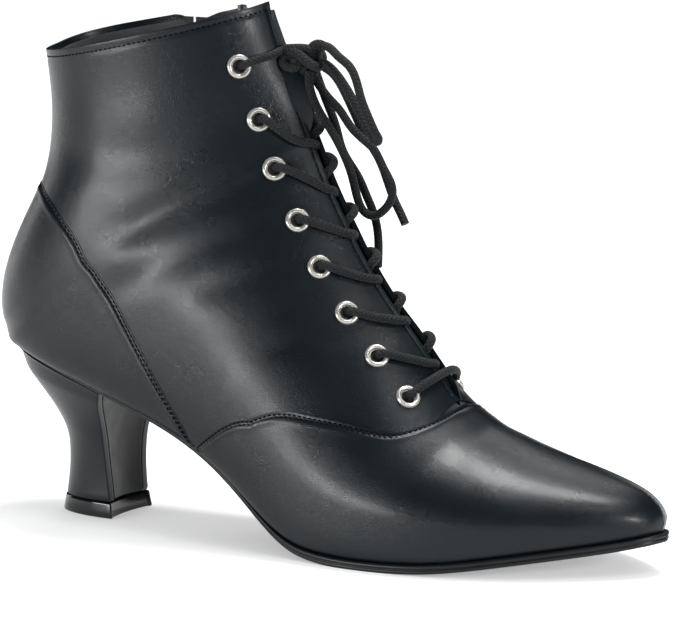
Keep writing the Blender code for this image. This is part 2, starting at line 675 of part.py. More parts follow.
def build_heel(cover, rubber, home):
    lift = blend(HEEL[0], HEEL[1], TOP_PIECE_HIGH / HEEL[1].back_z)
    wider = lift._replace(back_x=lift.back_x - 0.4, half=lift.half + 0.35, front_x=lift.front_x + 0.3)
    bottom = [heel_ring(row, lambda x, z=z: z) for row, z in ((HEEL[0], 0.0), (wider, TOP_PIECE_HIGH))]
    ring_solid("top_piece", bottom, rubber, home)
    rings = [heel_ring(HEEL[1], lambda x: TOP_PIECE_HIGH + GAP)]
    rings += [heel_ring(row, level(row)) for row in HEEL[2:]]
    rings.append(heel_ring(HEEL_SEAT, seat_height))
    ring_solid("heel_block", rings, cover, home)


def tube_mesh(work, route, radius, sides=6):
    """A capped tube along millimetre points, added to a mesh."""
    rings = []
    turn = Vector((0, 0, 1))
    for i, point in enumerate(route):
        ahead = Vector(route[min(i + 1, len(route) - 1)]) - Vector(route[max(i - 1, 0)])
        ahead.normalize()
        turn = (turn - ahead * turn.dot(ahead)).normalized()
        other = ahead.cross(turn)
        angles = [math.tau * k / sides for k in range(sides)]
        ring = [Vector(point) + (turn * math.cos(a) + other * math.sin(a)) * radius for a in angles]
        rings.append([work.verts.new(placed(p)) for p in ring])
    for a, b in zip(rings, rings[1:]):
        for j in range(sides):
            work.faces.new((a[j], a[(j + 1) % sides], b[(j + 1) % sides], b[j]))
    work.faces.new(rings[0][::-1])
    work.faces.new(rings[-1])


def over_throat(t, v):
    """A lace's place over the facings, level from one side to the other."""
    if v <= 0:
        out = normal(t, min(v, -0.03), PANEL_STEP)
        return surface(t, v, PANEL_STEP) + out * LACE_OVER_LEATHER
    point = surface(t, v, PANEL_STEP) + normal(t, v, PANEL_STEP) * LACE_OVER_LEATHER
    mirror = over_throat(t, -v)
    mirror[1] = point[1]
    return mirror + (point - mirror) * smooth(v / 0.13)


def crossing(start, end, side, count=4):
    """Points of one lace run from beside an eyelet to beside one across the throat."""
    route = []
    for share in np.linspace(0, 1, count):
        t = start.section + (end.section - start.section) * share
        v = side * LACE_INBOARD * (start.share - (start.share + end.share) * share)
        route.append(over_throat(t, v))
    return route


def knot_run(side):
    """The last run, from beside a top eyelet to the face of the knot."""
    centre, radii = np.array(KNOT)
    start = crossing(EYELETS[0], EYELETS[0], side)[:2]
    away = (start[-1] - centre) / np.linalg.norm(start[-1] - centre)
    reach = 1 / np.linalg.norm(away / radii)
    return start + [centre + away * (reach + GAP)]


def build_crossings(finish, home, helpers):
    """All the runs between eyelets, joined into one solid where they cross."""
    routes = [crossing(EYELETS[-1], EYELETS[-1], 1)]
    for upper, lower in zip(EYELETS, EYELETS[1:]):
        routes += [crossing(upper, lower, side) for side in (-1, 1)]
    routes += [knot_run(side) for side in (-1, 1)]
    net = None
    for number, route in enumerate(routes):
        work = bmesh.new()
        tube_mesh(work, route, LACE_RADIUS)
        bmesh.ops.recalc_face_normals(work, faces=work.faces)
        if net is None:
            net = bmesh_object("lace_crossings", work, Matrix(), finish, home)
        else:
            union(net, bmesh_object(f"lace_run_{number}", work, Matrix(), finish, helpers))
    return net


def build_cord(name, route, finish, home):
    data = bpy.data.curves.new(name, "CURVE")
    data.dimensions = "3D"
    data.bevel_depth = LACE_RADIUS * MM
    data.bevel_resolution = 2
    data.use_fill_caps = True
    line = data.splines.new("POLY")
    line.points.add(len(route) - 1)
    for knot, point in zip(line.points, route):
        knot.co = (*placed(point), 1.0)
    return add_object(name, data, finish, home)


def build_knot(finish, home):
    centre, radii = KNOT
    work = bmesh.new()
    frame = Matrix.Translation(placed(centre)) @ Matrix.Diagonal((*[r * MM for r in radii], 1.0))
    bmesh.ops.create_uvsphere(work, u_segments=14, v_segments=8, radius=1.0, matrix=frame)
    return bmesh_object("lace_knot", work, Matrix(), finish, home)


def new_collection(name, hidden=False):
    made = bpy.data.collections.new(name)
    bpy.context.scene.collection.children.link(made)
    made.hide_render = hidden
    return made


def main():
    for old in list(bpy.data.objects):
        bpy.data.objects.remove(old)
    boot, helpers = new_collection("lace_up_boot"), new_collection("cutters", True)
    leather = material("black_leather", (0.018, 0.019, 0.021), 0.38)
    lining = material("lining", (0.05, 0.05, 0.052), 0.8)
    rubber = material("rubber", (0.012, 0.012, 0.013), 0.55)
    nickel = material("nickel", (0.72, 0.70, 0.66), 0.25, 1.0)
    cotton = material("lace_cord", (0.015, 0.016, 0.017), 0.6)

    upper = build_upper(leather, boot)
    drop_loose(upper)
    cut(upper, eyelet_cutter(leather, helpers))
    cut(upper, zip_bar("zip_slot", (190.0, ZIP_STOP, 11), ZIP_SLOT, (-7.0, 7.0), leather, helpers))
    build_tongue(leather, boot)
    build_insole(lining, boot)
    build_sole(rubber, boot)
    build_heel(leather, rubber, boot)
    build_eyelets(nickel, boot)
    build_zip(nickel, boot, helpers)
    build_crossings(cotton, boot, helpers)
    build_knot(cotton, boot)
    build_cord("lace_loop_upper", LOOP_UPPER, cotton, boot)
    build_cord("lace_loop_lower", LOOP_LOWER, cotton, boot)
    build_cord("lace_end_front", END_FRONT, cotton, boot)
    build_cord("lace_end_side", END_SIDE, cotton, boot)
    for helper in helpers.objects:
        helper.hide_render = True
        helper.display_type = "WIRE"


main()
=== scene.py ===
"""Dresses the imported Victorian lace-up boot: leather, seams, lacing, zip, light and camera.

The boot's own sizes are in millimetres. +X is toward the toe, +Y toward the inner
side of the foot and +Z up from the floor. They are centred and scaled to metres
when a mesh is made.
"""

import logging
import math
from collections.abc import Callable, Sequence
from dataclasses import dataclass, field
from enum import Enum, IntEnum
from functools import cached_property

import bmesh
import bpy
import numpy as np
from mathutils import Matrix, Vector

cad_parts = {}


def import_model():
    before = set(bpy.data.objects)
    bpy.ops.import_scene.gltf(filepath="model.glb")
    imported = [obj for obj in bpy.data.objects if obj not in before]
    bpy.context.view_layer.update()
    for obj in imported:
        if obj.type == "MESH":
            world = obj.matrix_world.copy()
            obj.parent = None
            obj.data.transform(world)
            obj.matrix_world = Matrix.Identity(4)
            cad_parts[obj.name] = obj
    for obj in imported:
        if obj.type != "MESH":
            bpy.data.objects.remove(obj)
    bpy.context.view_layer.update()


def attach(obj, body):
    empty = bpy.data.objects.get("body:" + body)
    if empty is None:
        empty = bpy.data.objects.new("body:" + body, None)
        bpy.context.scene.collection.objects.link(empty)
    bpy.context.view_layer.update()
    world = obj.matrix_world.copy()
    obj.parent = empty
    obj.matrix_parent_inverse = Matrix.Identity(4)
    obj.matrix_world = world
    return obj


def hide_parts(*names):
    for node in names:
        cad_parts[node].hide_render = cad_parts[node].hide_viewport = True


MM = 0.001
CENTRE = np.array((127.1, -0.34, 0.0))  # The middle of the boot's length and width, on the floor.
WELD = 0.01 * MM
BOOT_BODY = "boot"

log = logging.getLogger("boot")


class Side(Enum):
    """The two sides of the foot, as the sign of the share across the boot."""

    OUTER = -1
    INNER = 1

    @property
    def across(self) -> "Side":
        """The other side."""
        return Side(-self.value)


class Column(IntEnum):
    """The columns of the section table: places, half widths, and shares and powers of the curve."""

    TOP_X = 0
    TOP_Z = 1
    BASE_X = 2
    BASE_Z = 3
    OUTER_FEATHER = 4
    INNER_FEATHER = 5
    OUTER_WIDE = 6
    INNER_WIDE = 7
    WIDE_AT = 8
    CROWN_POWER = 9
    SEAT_POWER = 10
    OUTER_RISE = 11
    INNER_RISE = 12


def placed(points: np.ndarray) -> np.ndarray:
    """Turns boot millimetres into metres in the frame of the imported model.

    Args:
        points: Points whose last axis is x, y, z.

    Returns:
        An array of the same shape.
    """
    return (np.asarray(points, float) - CENTRE) * MM


def smooth(value: np.ndarray) -> np.ndarray:
    """Eases a value from 0 to 1, flat at both ends."""
    value = np.clip(value, 0.0, 1.0)
    return value * value * (3 - 2 * value)


def bump(distance: np.ndarray, centre: float, width: float) -> np.ndarray:
    """A bell of height 1 round a centre."""
    return np.exp(-(((distance - centre) / width) ** 2))


def unit(vectors: np.ndarray) -> np.ndarray:
    """The vectors along the last axis, each at length 1."""
    return vectors / np.maximum(np.linalg.norm(vectors, axis=-1, keepdims=True), 1e-9)


def travelled(points: np.ndarray, axis: int = 0) -> np.ndarray:
    """Distance gone over the points along an axis, from the first of them."""
    steps = np.linalg.norm(np.diff(points, axis=axis), axis=-1)
    return np.concatenate((np.zeros_like(np.take(steps, [0], axis)), np.cumsum(steps, axis=axis)), axis=axis)


def relaxed(values: np.ndarray, passes: int) -> np.ndarray:
    """The values with their wobbles smoothed away, the first and last kept."""
    for _ in range(passes):
        values[1:-1] = (values[:-2] + 2 * values[1:-1] + values[2:]) / 4
    return values


@dataclass(frozen=True)
class SplineTable:
    """A table of evenly numbered rows, joined by natural cubic splines.

    Attributes:
        rows: One row of values for each whole number.
    """

    rows: tuple

    @cached_property
    def values(self) -> np.ndarray:
        """The rows as an array."""
        return np.array(self.rows, float)

    @cached_property
    def bends(self) -> np.ndarray:
        """Second differences of the splines at the rows."""
        rows = self.values
        system, right = np.eye(len(rows)), np.zeros_like(rows)
        for i in range(1, len(rows) - 1):
            system[i, i - 1 : i + 2] = (1, 4, 1)
            right[i] = 6 * (rows[i + 1] - 2 * rows[i] + rows[i - 1])
        return np.linalg.solve(system, right)

    def at(self, t: np.ndarray) -> np.ndarray:
        """The row of values at any place along the table.

        Args:
            t: Places along the table, as row numbers.

        Returns:
            An array with one more axis than t, for the columns.
        """
        rows, bends = self.values, self.bends
        i = np.clip(np.floor(t).astype(int), 0, len(rows) - 2)
        s = (t - i)[..., None]
        curve = ((1 - s) ** 3 - (1 - s)) * bends[i] + (s**3 - s) * bends[i + 1]
        return (1 - s) * rows[i] + s * rows[i + 1] + curve / 6


@dataclass(frozen=True)
class Crease:
    """A soft trough with a low ridge beside it, seen from the side.

    Attributes:
        start: Where it begins, as (x, z).
        end: Where it ends, as (x, z).
        depth: Depth of the trough.
        width: Half width of the trough.
        ridge: Height of the ridge, as a share of the depth.
        fade: Share of the length over which each end dies away.
    """

    start: tuple[float, float]
    end: tuple[float, float]
    depth: float
    width: float
    ridge: float = 0.55
    fade: float = 0.35

    def height(self, points: np.ndarray) -> np.ndarray:
        """Height of the leather above its plain form at points in boot millimetres."""
        start, end = np.array(self.start), np.array(self.end)
        length = np.linalg.norm(end - start)
        run = (end - start) / length
        flat = points[..., [0, 2]] - start
        along = flat @ run / length
        off = flat @ np.array((-run[1], run[0]))
        fade = smooth(along / self.fade + self.fade) * smooth((1 - along) / self.fade + self.fade)
        trough = bump(off, 0.0, self.width)
        ridge = bump(off, 1.7 * self.width, 1.1 * self.width)
        return self.depth * (self.ridge * ridge - trough) * fade


@dataclass(frozen=True)
class BootForm:
    """The boot's outer form: fan sections from the toe to the collar.

    A section runs from a point on the ridge to a point on the featherline or the
    back seam. v runs from -1 (outer featherline) over the ridge at 0 to 1.

    Attributes:
        sections: The section table, with one row of named columns for each section.
        seat_end: The section past which the sections close at the back seam.
        collar_set_back: How far the collar's inner front corner leans back.
        collar_drop: How far the inner collar is lowered in front of the zip.
        creases: Soft wear creases in the leather.
        swing: How far the ridge swings inward at the toe.
        swing_from: Where the swing starts.
        swing_over: The length over which it grows.
    """

    sections: SplineTable
    seat_end: float
    collar_set_back: float
    collar_drop: float
    creases: tuple[Crease, ...]
    swing: float = 6.0
    swing_from: float = 150.0
    swing_over: float = 104.0

    def row(self, t: np.ndarray) -> np.ndarray:
        """The section values at t, with the featherline closed behind the seat."""
        values = self.sections.at(np.asarray(t, float))
        values[..., Column.OUTER_FEATHER : Column.OUTER_WIDE] *= (np.asarray(t) < self.seat_end)[..., None]
        return values

    def ridge(self, top_x: np.ndarray) -> np.ndarray:
        """The ridge swings inward toward the toe, which makes this a right boot."""
        return self.swing * np.clip((top_x - self.swing_from) / self.swing_over, 0.0, 1.0) ** 1.2

    def surface(self, t: np.ndarray, v: np.ndarray, inset: float = 0.0) -> np.ndarray:
        """Points of the plain form.

        Args:
            t: Section numbers.
            v: Signed shares across the boot.
            inset: Depth below the outer form.

        Returns:
            Points in boot millimetres.
        """
        t, v, inset = np.broadcast_arrays(*(np.asarray(a, float) for a in (t, v, inset)))
        row = self.row(t)
        deep = inset[..., None]
        top, base = row[..., : Column.BASE_X], row[..., Column.BASE_X : Column.OUTER_FEATHER]
        along = unit(top - base)
        top, base = top - along * deep, base + along * deep
        height = np.linalg.norm(top - base, axis=-1)
        ridge = self.ridge(row[..., Column.TOP_X])
        outer = v < 0
        wide = np.where(outer, row[..., Column.OUTER_WIDE], row[..., Column.INNER_WIDE])
        feather = np.where(outer, row[..., Column.OUTER_FEATHER], row[..., Column.INNER_FEATHER])
        reach = np.abs(wide - ridge)
        wide = wide - np.copysign(np.minimum(inset, reach * 0.6), wide - ridge)
        wide_at = row[..., Column.WIDE_AT]
        share = np.minimum(np.abs(v), 1.0)
        over = share <= 0.5
        turn = math.pi * np.where(over, share, 1 - share)
        rounded = np.clip(np.sin(turn), 0.0, 1.0)
        crown = ridge + (wide - ridge) * rounded ** row[..., Column.CROWN_POWER]
        seat = feather + (wide - feather) * rounded ** row[..., Column.SEAT_POWER]
        y = np.where(over, crown, seat)
        rise = height * np.where(over, wide_at + (1 - wide_at) * np.cos(turn), wide_at * (1 - np.cos(turn)))
        x, z = np.moveaxis(base + along * rise[..., None], -1, 0)
        outer_rise = row[..., Column.OUTER_RISE] * np.sin(math.pi * share)
        inner_rise = row[..., Column.INNER_RISE] * np.sin(math.pi * share**2.4)
        z = z + np.where(outer, outer_rise, inner_rise)
        lean = smooth((z - 148.0) / 38.0) * ~outer
        beside_zip = 1 + 0.6 * smooth(share / 0.1 - 3.8)
        z = z - self.collar_drop * beside_zip * lean * smooth((0.57 - share) / 0.08)
        return np.stack((x - self.collar_set_back * lean * smooth(1 - share / 0.72), y, z), axis=-1)

    def slopes(self, t: np.ndarray, v: np.ndarray, inset: float = 0.0) -> tuple[np.ndarray, np.ndarray]:
        """Changes of the surface point for a unit of t and a unit of v."""
        step = 0.02
        t, v = np.broadcast_arrays(np.asarray(t, float), np.asarray(v, float))
        last = len(self.sections.rows) - 1.0
        high, low = np.minimum(t + step, last), np.maximum(t - step, 0.0)
        along = (self.surface(high, v, inset) - self.surface(low, v, inset)) / (high - low)[..., None]
        right, left = np.minimum(v + step, 1.0), np.maximum(v - step, -1.0)
        across = (self.surface(t, right, inset) - self.surface(t, left, inset)) / (right - left)[..., None]
        return along, across

    def normal(self, t: np.ndarray, v: np.ndarray, inset: float = 0.0) -> np.ndarray:
        """Unit normals that point out of the boot."""
        along, across = self.slopes(t, v, inset)
        return unit(np.cross(across, along))

    def leather(self, t: np.ndarray, v: np.ndarray, inset: float = 0.0, relief: float = 0.0) -> np.ndarray:
        """Points of the creased leather.

        Args:
            t: Section numbers.
            v: Signed shares.
            inset: Depth below the outer form.
            relief: Extra height along the normal at each point.

        Returns:
            Points in boot millimetres.
        """
        points = self.surface(t, v, inset)
        lift = sum((crease.height(points) for crease in self.creases), np.zeros(points.shape[:-1]))
        return points + self.normal(t, v, inset) * (lift + relief)[..., None]

    def beside(self, line: "SeamLine", distance: float, inset: float = 0.0) -> "SeamLine":
        """The line that runs beside a line, a distance away over the surface.

        Args:
            line: The line to follow.
            distance: Millimetres to its left, seen from outside the boot.
            inset: Depth of the surface that both lie on.

        Returns:
            The offset line.
        """
        ahead = unit(np.gradient(self.surface(line.t, line.v, inset), axis=0))
        sideways = np.cross(self.normal(line.t, line.v, inset), ahead) * distance
        along, across = self.slopes(line.t, line.v, inset)
        system = np.stack((along, across), axis=-1)
        moves = np.stack([np.linalg.lstsq(a, b, rcond=None)[0] for a, b in zip(system, sideways)])
        return SeamLine(line.t + moves[:, 0], np.clip(line.v + moves[:, 1], -1.0, 1.0))


@dataclass(frozen=True)
class SeamLine:
    """A line on the form.

    Attributes:
        t: Section numbers along it.
        v: Signed shares along it.
    """

    t: np.ndarray
    v: np.ndarray

    def evenly(self, form: BootForm, pitch: float, inset: float = 0.0) -> "SeamLine":
        """The same line with points a fixed distance apart over the surface."""
        travel = travelled(form.surface(self.t, self.v, inset))
        stops = np.linspace(0.0, travel[-1], max(2, int(travel[-1] / pitch) + 1))
        return SeamLine(np.interp(stops, travel, self.t), np.interp(stops, travel, self.v))

    def eased(self, passes: int) -> "SeamLine":
        """The same line with its small wobbles smoothed away."""
        values = relaxed(np.stack((self.t, self.v), axis=1), passes)
        return SeamLine(values[:, 0], values[:, 1])

    def part(self, start: float, end: float) -> "SeamLine":
        """The stretch between two shares of its points."""
        count = len(self.t)
        keep = slice(int(round(start * (count - 1))), int(round(end * (count - 1))) + 1)
        return SeamLine(self.t[keep], self.v[keep])


def curved_line(stops: Sequence[tuple[float, float]], count: int = 160) -> SeamLine:
    """A smooth line through (section, share) stops.

    Args:
        stops: The places that it passes through.
        count: How many points it gets.

    Returns:
        The line.
    """
    along = np.linspace(0.0, len(stops) - 1.0, count)
    values = SplineTable(tuple(stops)).at(along)
    return SeamLine(values[:, 0], values[:, 1])


def mapped_grid(points: np.ndarray, uv: np.ndarray | None = None) -> bmesh.types.BMesh:
    """A grid of quads laid over an array of points.

    Args:
        points: Rows and columns of points in boot millimetres.
        uv: A pair of millimetre coordinates for each point.

    Returns:
        A new mesh, welded where points meet.
    """
    rows, columns = points.shape[:2]
    work = bmesh.new()
    bmesh.ops.create_grid(work, x_segments=columns - 1, y_segments=rows - 1, size=0.5)
    spots = np.array([vert.co for vert in work.verts])
    j = np.rint((spots[:, 0] + 0.5) * (columns - 1)).astype(int)
    i = np.rint((spots[:, 1] + 0.5) * (rows - 1)).astype(int)
    if uv is not None:
        layer = work.loops.layers.uv.new("surface_mm")
        for face in work.faces:
            for loop in face.loops:
                k = loop.vert.index
                loop[layer].uv = uv[i[k], j[k]]
    metres = placed(points)
    for vert, a, b in zip(work.verts, i, j):
        vert.co = metres[a, b]
    bmesh.ops.remove_doubles(work, verts=work.verts, dist=WELD)
    return work


def merged(works: Sequence[bmesh.types.BMesh]) -> bmesh.types.BMesh:
    """One mesh from several, welded where they meet."""
    whole = bmesh.new()
    for work in works:
        passing = bpy.data.meshes.new("passing")
        work.to_mesh(passing)
        work.free()
        whole.from_mesh(passing)
        bpy.data.meshes.remove(passing)
    bmesh.ops.remove_doubles(whole, verts=whole.verts, dist=WELD)
    return whole


def closed(work: bmesh.types.BMesh) -> bmesh.types.BMesh:
    """The mesh with its open ends filled and its faces turned outward."""
    bmesh.ops.holes_fill(work, edges=[e for e in work.edges if e.is_boundary], sides=0)
    bmesh.ops.recalc_face_normals(work, faces=work.faces)
    return work


def thickened(work: bmesh.types.BMesh, thickness: float, rounding: float, outward: Vector) -> None:
    """Gives a sheet its thickness, inward from its faces, and rounds its edges.

    Args:
        work: The sheet, which becomes a closed solid.
        thickness: Millimetres of leather.
        rounding: Millimetres of rounding at the cut edges.
        outward: The direction that its middle face looks along.
    """
    bmesh.ops.recalc_face_normals(work, faces=work.faces)
    work.faces.ensure_lookup_table()
    if work.faces[len(work.faces) // 2].normal.dot(outward) < 0:
        bmesh.ops.reverse_faces(work, faces=work.faces)
    bmesh.ops.solidify(work, geom=work.faces[:], thickness=thickness * MM)
    bmesh.ops.recalc_face_normals(work, faces=work.faces)
    if rounding > 0:
        sharp = [e for e in work.edges if e.is_manifold and e.calc_face_angle(0.0) > 1.0]
        bmesh.ops.bevel(
            work, geom=sharp, offset=rounding * MM, segments=3, profile=0.5, affect="EDGES", material=-1,
            clamp_overlap=True,
        )


def linked(name: str, data: bpy.types.ID) -> bpy.types.Object:
    """A new object of the scene for a mesh, light or camera."""
    made = bpy.data.objects.new(name, data)
    bpy.context.scene.collection.objects.link(made)
    return made


def aimed(name: str, data: bpy.types.ID, spot: Vector, target: Vector) -> bpy.types.Object:
    """A light or camera at a spot, turned toward a target."""
    made = linked(name, data)
    made.location = spot
    made.rotation_euler = (target - spot).to_track_quat("-Z", "Y").to_euler()
    return made


def finished(
    name: str, work: bmesh.types.BMesh, finish: bpy.types.Material, sharp: float = 50.0
) -> bpy.types.Object:
    """Turns a mesh into a shaded object at the origin.

    Args:
        name: The object's name.
        work: The mesh, which is freed.
        finish: Its material.
        sharp: Edges over this many degrees stay sharp.

    Returns:
        The linked object.
    """
    data = bpy.data.meshes.new(name)
    work.to_mesh(data)
    work.free()
    data.shade_smooth()
    data.set_sharp_from_angle(angle=math.radians(sharp))
    data.materials.append(finish)
    return linked(name, data)


def worn(piece: bpy.types.Object, replaces: Sequence[str] = ()) -> bpy.types.Object:
    """Puts a piece on the boot's body and the CAD nodes that it stands for."""
    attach(piece, BOOT_BODY)
    if replaces:
        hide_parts(*replaces)
    log.info("%s stands for %s", piece.name, ", ".join(replaces) or "detail")
    return piece


def cut_through(piece: bpy.types.Object, cutter: bmesh.types.BMesh) -> None:
    """Cuts a closed mesh out of a piece for good.

    Args:
        piece: The piece, whose mesh is replaced.
        cutter: The closed cutting shape, which is freed.
    """
    data = bpy.data.meshes.new("cutter")
    cutter.to_mesh(data)
    cutter.free()
    tool = linked("cutter", data)
    step = piece.modifiers.new("cut", "BOOLEAN")
    step.operation, step.solver, step.object = "DIFFERENCE", "EXACT", tool
    graph = bpy.context.evaluated_depsgraph_get()
    whole = bpy.data.meshes.new_from_object(piece.evaluated_get(graph))
    piece.modifiers.remove(step)
    old, piece.data = piece.data, whole
    whole.name = old.name + "_cut"
    bpy.data.meshes.remove(old)
    bpy.data.objects.remove(tool)
    bpy.data.meshes.remove(data)


def lofted(rings: np.ndarray) -> bmesh.types.BMesh:
    """A closed solid through rings of points in boot millimetres, capped at both ends."""
    return closed(mapped_grid(np.concatenate((rings, rings[:, :1]), axis=1)))


def tube(route: np.ndarray, radius: float, sides: int = 12) -> bmesh.types.BMesh:
    """A closed round tube along a route.

    Args:
        route: Points in boot millimetres.
        radius: Its radius.
        sides: Faces round it.

    Returns:
        The mesh, with millimetre coordinates along and round it.
    """
    ahead = unit(np.gradient(route, axis=0))
    turn = np.array((0.12, 0.2, 1.0))
    angles = np.linspace(0, math.tau, sides + 1)
    rings, uv = [], []
    for point, run, gone in zip(route, ahead, travelled(route)):
        turn = unit(turn - run * (turn @ run))
        other = np.cross(run, turn)
        rings.append(point + radius * (np.outer(np.cos(angles), turn) + np.outer(np.sin(angles), other)))
        uv.append([(gone, a * radius) for a in angles])
    return closed(mapped_grid(np.array(rings), np.array(uv)))


def flowing(points: Sequence[Sequence[float]], spacing: float) -> np.ndarray:
    """A smooth route through given points.

    Args:
        points: Places that the route passes through.
        spacing: Distance between the points of the result.

    Returns:
        Evenly spaced points.
    """
    table = SplineTable(tuple(tuple(p) for p in points))
    fine = table.at(np.linspace(0, len(points) - 1.0, len(points) * 24))
    travel = travelled(fine)
    stops = np.linspace(0, travel[-1], max(3, int(round(travel[-1] / spacing)) + 1))
    return np.stack([np.interp(stops, travel, column) for column in fine.T], axis=1)


class Shader:
    """Short calls for a Principled material's nodes."""

    def __init__(self, name: str, colour: tuple, roughness: float, metal: float = 0.0) -> None:
        """Starts a material with plain values.

        Args:
            name: The material's name.
            colour: Linear base colour.
            roughness: Plain roughness.
            metal: Metallic value.
        """
        self.material = bpy.data.materials.new(name)
        self.material.use_nodes = True
        self.nodes = self.material.node_tree.nodes
        self.base = self.nodes["Principled BSDF"]
        self.value("Base Color", (*colour, 1.0))
        self.value("Roughness", roughness)
        self.value("Metallic", metal)

    def value(self, socket: str, number: float | tuple) -> None:
        """Sets one of the shader's own sockets."""
        self.base.inputs[socket].default_value = number

    def link(self, made: bpy.types.NodeSocket, wanted: bpy.types.NodeSocket) -> None:
        """Joins two sockets."""
        self.material.node_tree.links.new(made, wanted)

    def place(self) -> bpy.types.NodeSocket:
        """Object coordinates."""
        return self.nodes.new("ShaderNodeTexCoord").outputs["Object"]

    def noise(self, scale: float, detail: float) -> bpy.types.NodeSocket:
        """Soft noise with features of about 1 / scale metres."""
        made = self.nodes.new("ShaderNodeTexNoise")
        made.inputs["Scale"].default_value = scale
        made.inputs["Detail"].default_value = detail
        self.link(self.place(), made.inputs["Vector"])
        return made.outputs["Fac"]

    def cells(self, scale: float) -> bpy.types.NodeSocket:
        """Distance to the nearest cell edge, for leather grain."""
        made = self.nodes.new("ShaderNodeTexVoronoi")
        made.feature = "DISTANCE_TO_EDGE"
        made.inputs["Scale"].default_value = scale
        self.link(self.place(), made.inputs["Vector"])
        return made.outputs["Distance"]

    def ranged(
        self, source: bpy.types.NodeSocket, low: float, high: float, span: tuple = (0.3, 0.7)
    ) -> bpy.types.NodeSocket:
        """Maps a value's span onto a range."""
        made = self.nodes.new("ShaderNodeMapRange")
        for name, number in (("From Min", span[0]), ("From Max", span[1]), ("To Min", low), ("To Max", high)):
            made.inputs[name].default_value = number
        self.link(source, made.inputs["Value"])
        return made.outputs["Result"]

    def combined(
        self, kind: str, first: bpy.types.NodeSocket, second: bpy.types.NodeSocket | float = 0.0
    ) -> bpy.types.NodeSocket:
        """A Math node of a kind, on a socket and a second socket or number."""
        made = self.nodes.new("ShaderNodeMath")
        made.operation = kind
        for socket, given in zip(made.inputs, (first, second)):
            if isinstance(given, bpy.types.NodeSocket):
                self.link(given, socket)
            else:
                socket.default_value = given
        return made.outputs[0]

    def mixed(self, factor: bpy.types.NodeSocket, low: tuple, high: tuple) -> bpy.types.NodeSocket:
        """A colour between two by a factor."""
        made = self.nodes.new("ShaderNodeMix")
        made.data_type = "RGBA"
        self.link(factor, made.inputs["Factor"])
        made.inputs[6].default_value, made.inputs[7].default_value = (*low, 1.0), (*high, 1.0)
        return made.outputs[2]

    def mottled(self, factor: bpy.types.NodeSocket, colour: tuple, gain: float) -> None:
        """Lets the base colour run up to one some times as light, by a factor."""
        light = tuple(c * gain for c in colour)
        self.link(self.mixed(factor, colour, light), self.base.inputs["Base Color"])

    def hazed(self, scale: float, detail: float, roughness: tuple[float, float]) -> None:
        """Lets the roughness wander between two values."""
        self.link(self.ranged(self.noise(scale, detail), *roughness), self.base.inputs["Roughness"])

    def relief(self, height: bpy.types.NodeSocket, depth: float) -> None:
        """Adds a bump of a depth in metres on top of any before it."""
        made = self.nodes.new("ShaderNodeBump")
        made.inputs["Strength"].default_value = 1.0
        made.inputs["Distance"].default_value = depth
        self.link(height, made.inputs["Height"])
        normal = self.base.inputs["Normal"]
        if normal.links:
            self.link(normal.links[0].from_socket, made.inputs["Normal"])
        self.link(made.outputs["Normal"], normal)


@dataclass(frozen=True)
class Finish:
    """What every finish has.

    Attributes:
        name: The material's name.
        colour: Linear base colour.
    """

    name: str
    colour: tuple[float, float, float]


@dataclass(frozen=True)
class LeatherFinish(Finish):
    """Smooth dressed leather.

    Attributes:
        roughness: Roughness of the dressing, low and high.
        grain: Depth of the grain, in metres.
        coat: Weight of the polish over it.
        coat_roughness: Roughness of the polish.
    """

    roughness: tuple[float, float]
    grain: float
    coat: float
    coat_roughness: float = 0.2

    def make(self) -> bpy.types.Material:
        """Builds the material."""
        made = Shader(self.name, self.colour, self.roughness[0])
        made.mottled(made.ranged(made.noise(38.0, 3.0), 0.0, 1.0), self.colour, 1.35)
        made.hazed(70.0, 4.0, self.roughness)
        made.value("Specular IOR Level", 0.18)
        made.value("Coat Weight", self.coat)
        made.value("Coat Roughness", self.coat_roughness)
        made.relief(made.ranged(made.cells(1500.0), 0.0, 1.0, (0.0, 0.12)), self.grain)
        made.relief(made.noise(420.0, 3.0), self.grain * 3)
        return made.material


@dataclass(frozen=True)
class CordFinish(Finish):
    """Round braided cord, waxed.

    Attributes:
        pick: Length of one braid pick along the cord, in millimetres.
        strands: Strands round the cord.
        girth: Distance round the cord, in millimetres.
    """

    pick: float
    strands: int
    girth: float

    def make(self) -> bpy.types.Material:
        """Builds the material, with two crossing sets of strands and painted shade in the grooves between
        them.
        """
        made = Shader(self.name, self.colour, 0.62)
        surface = made.nodes.new("ShaderNodeUVMap")
        surface.uv_map = "surface_mm"
        split = made.nodes.new("ShaderNodeSeparateXYZ")
        made.link(surface.outputs["UV"], split.inputs[0])
        along = made.combined("MULTIPLY", split.outputs[0], math.tau / self.pick)
        around = made.combined("MULTIPLY", split.outputs[1], math.tau * self.strands / self.girth)
        left = made.combined("SINE", made.combined("ADD", along, around))
        right = made.combined("SINE", made.combined("SUBTRACT", along, around))
        braid = made.combined("MAXIMUM", left, right)
        # Painted shade: the colour is darkest in the grooves between the strands and up to 2.2 times lighter
        # on their crests, on top of the real braid relief.
        made.mottled(made.ranged(braid, 0.0, 1.0, (-0.4, 1.0)), self.colour, 2.2)
        made.value("Specular IOR Level", 0.16)
        made.value("Sheen Weight", 0.04)
        made.value("Sheen Roughness", 0.5)
        made.relief(braid, 0.00016)
        made.relief(made.noise(2600.0, 2.0), 0.00008)
        return made.material


@dataclass(frozen=True)
class MetalFinish(Finish):
    """Plated metal with faint handling marks.

    Attributes:
        roughness: Roughness, low and high.
        metal: Metallic value, lower where the plating is hazy.
    """

    roughness: tuple[float, float]
    metal: float

    def make(self) -> bpy.types.Material:
        """Builds the material."""
        made = Shader(self.name, self.colour, self.roughness[0], self.metal)
        made.hazed(900.0, 3.0, self.roughness)
        made.relief(made.noise(1400.0, 2.0), 0.00001)
        return made.material


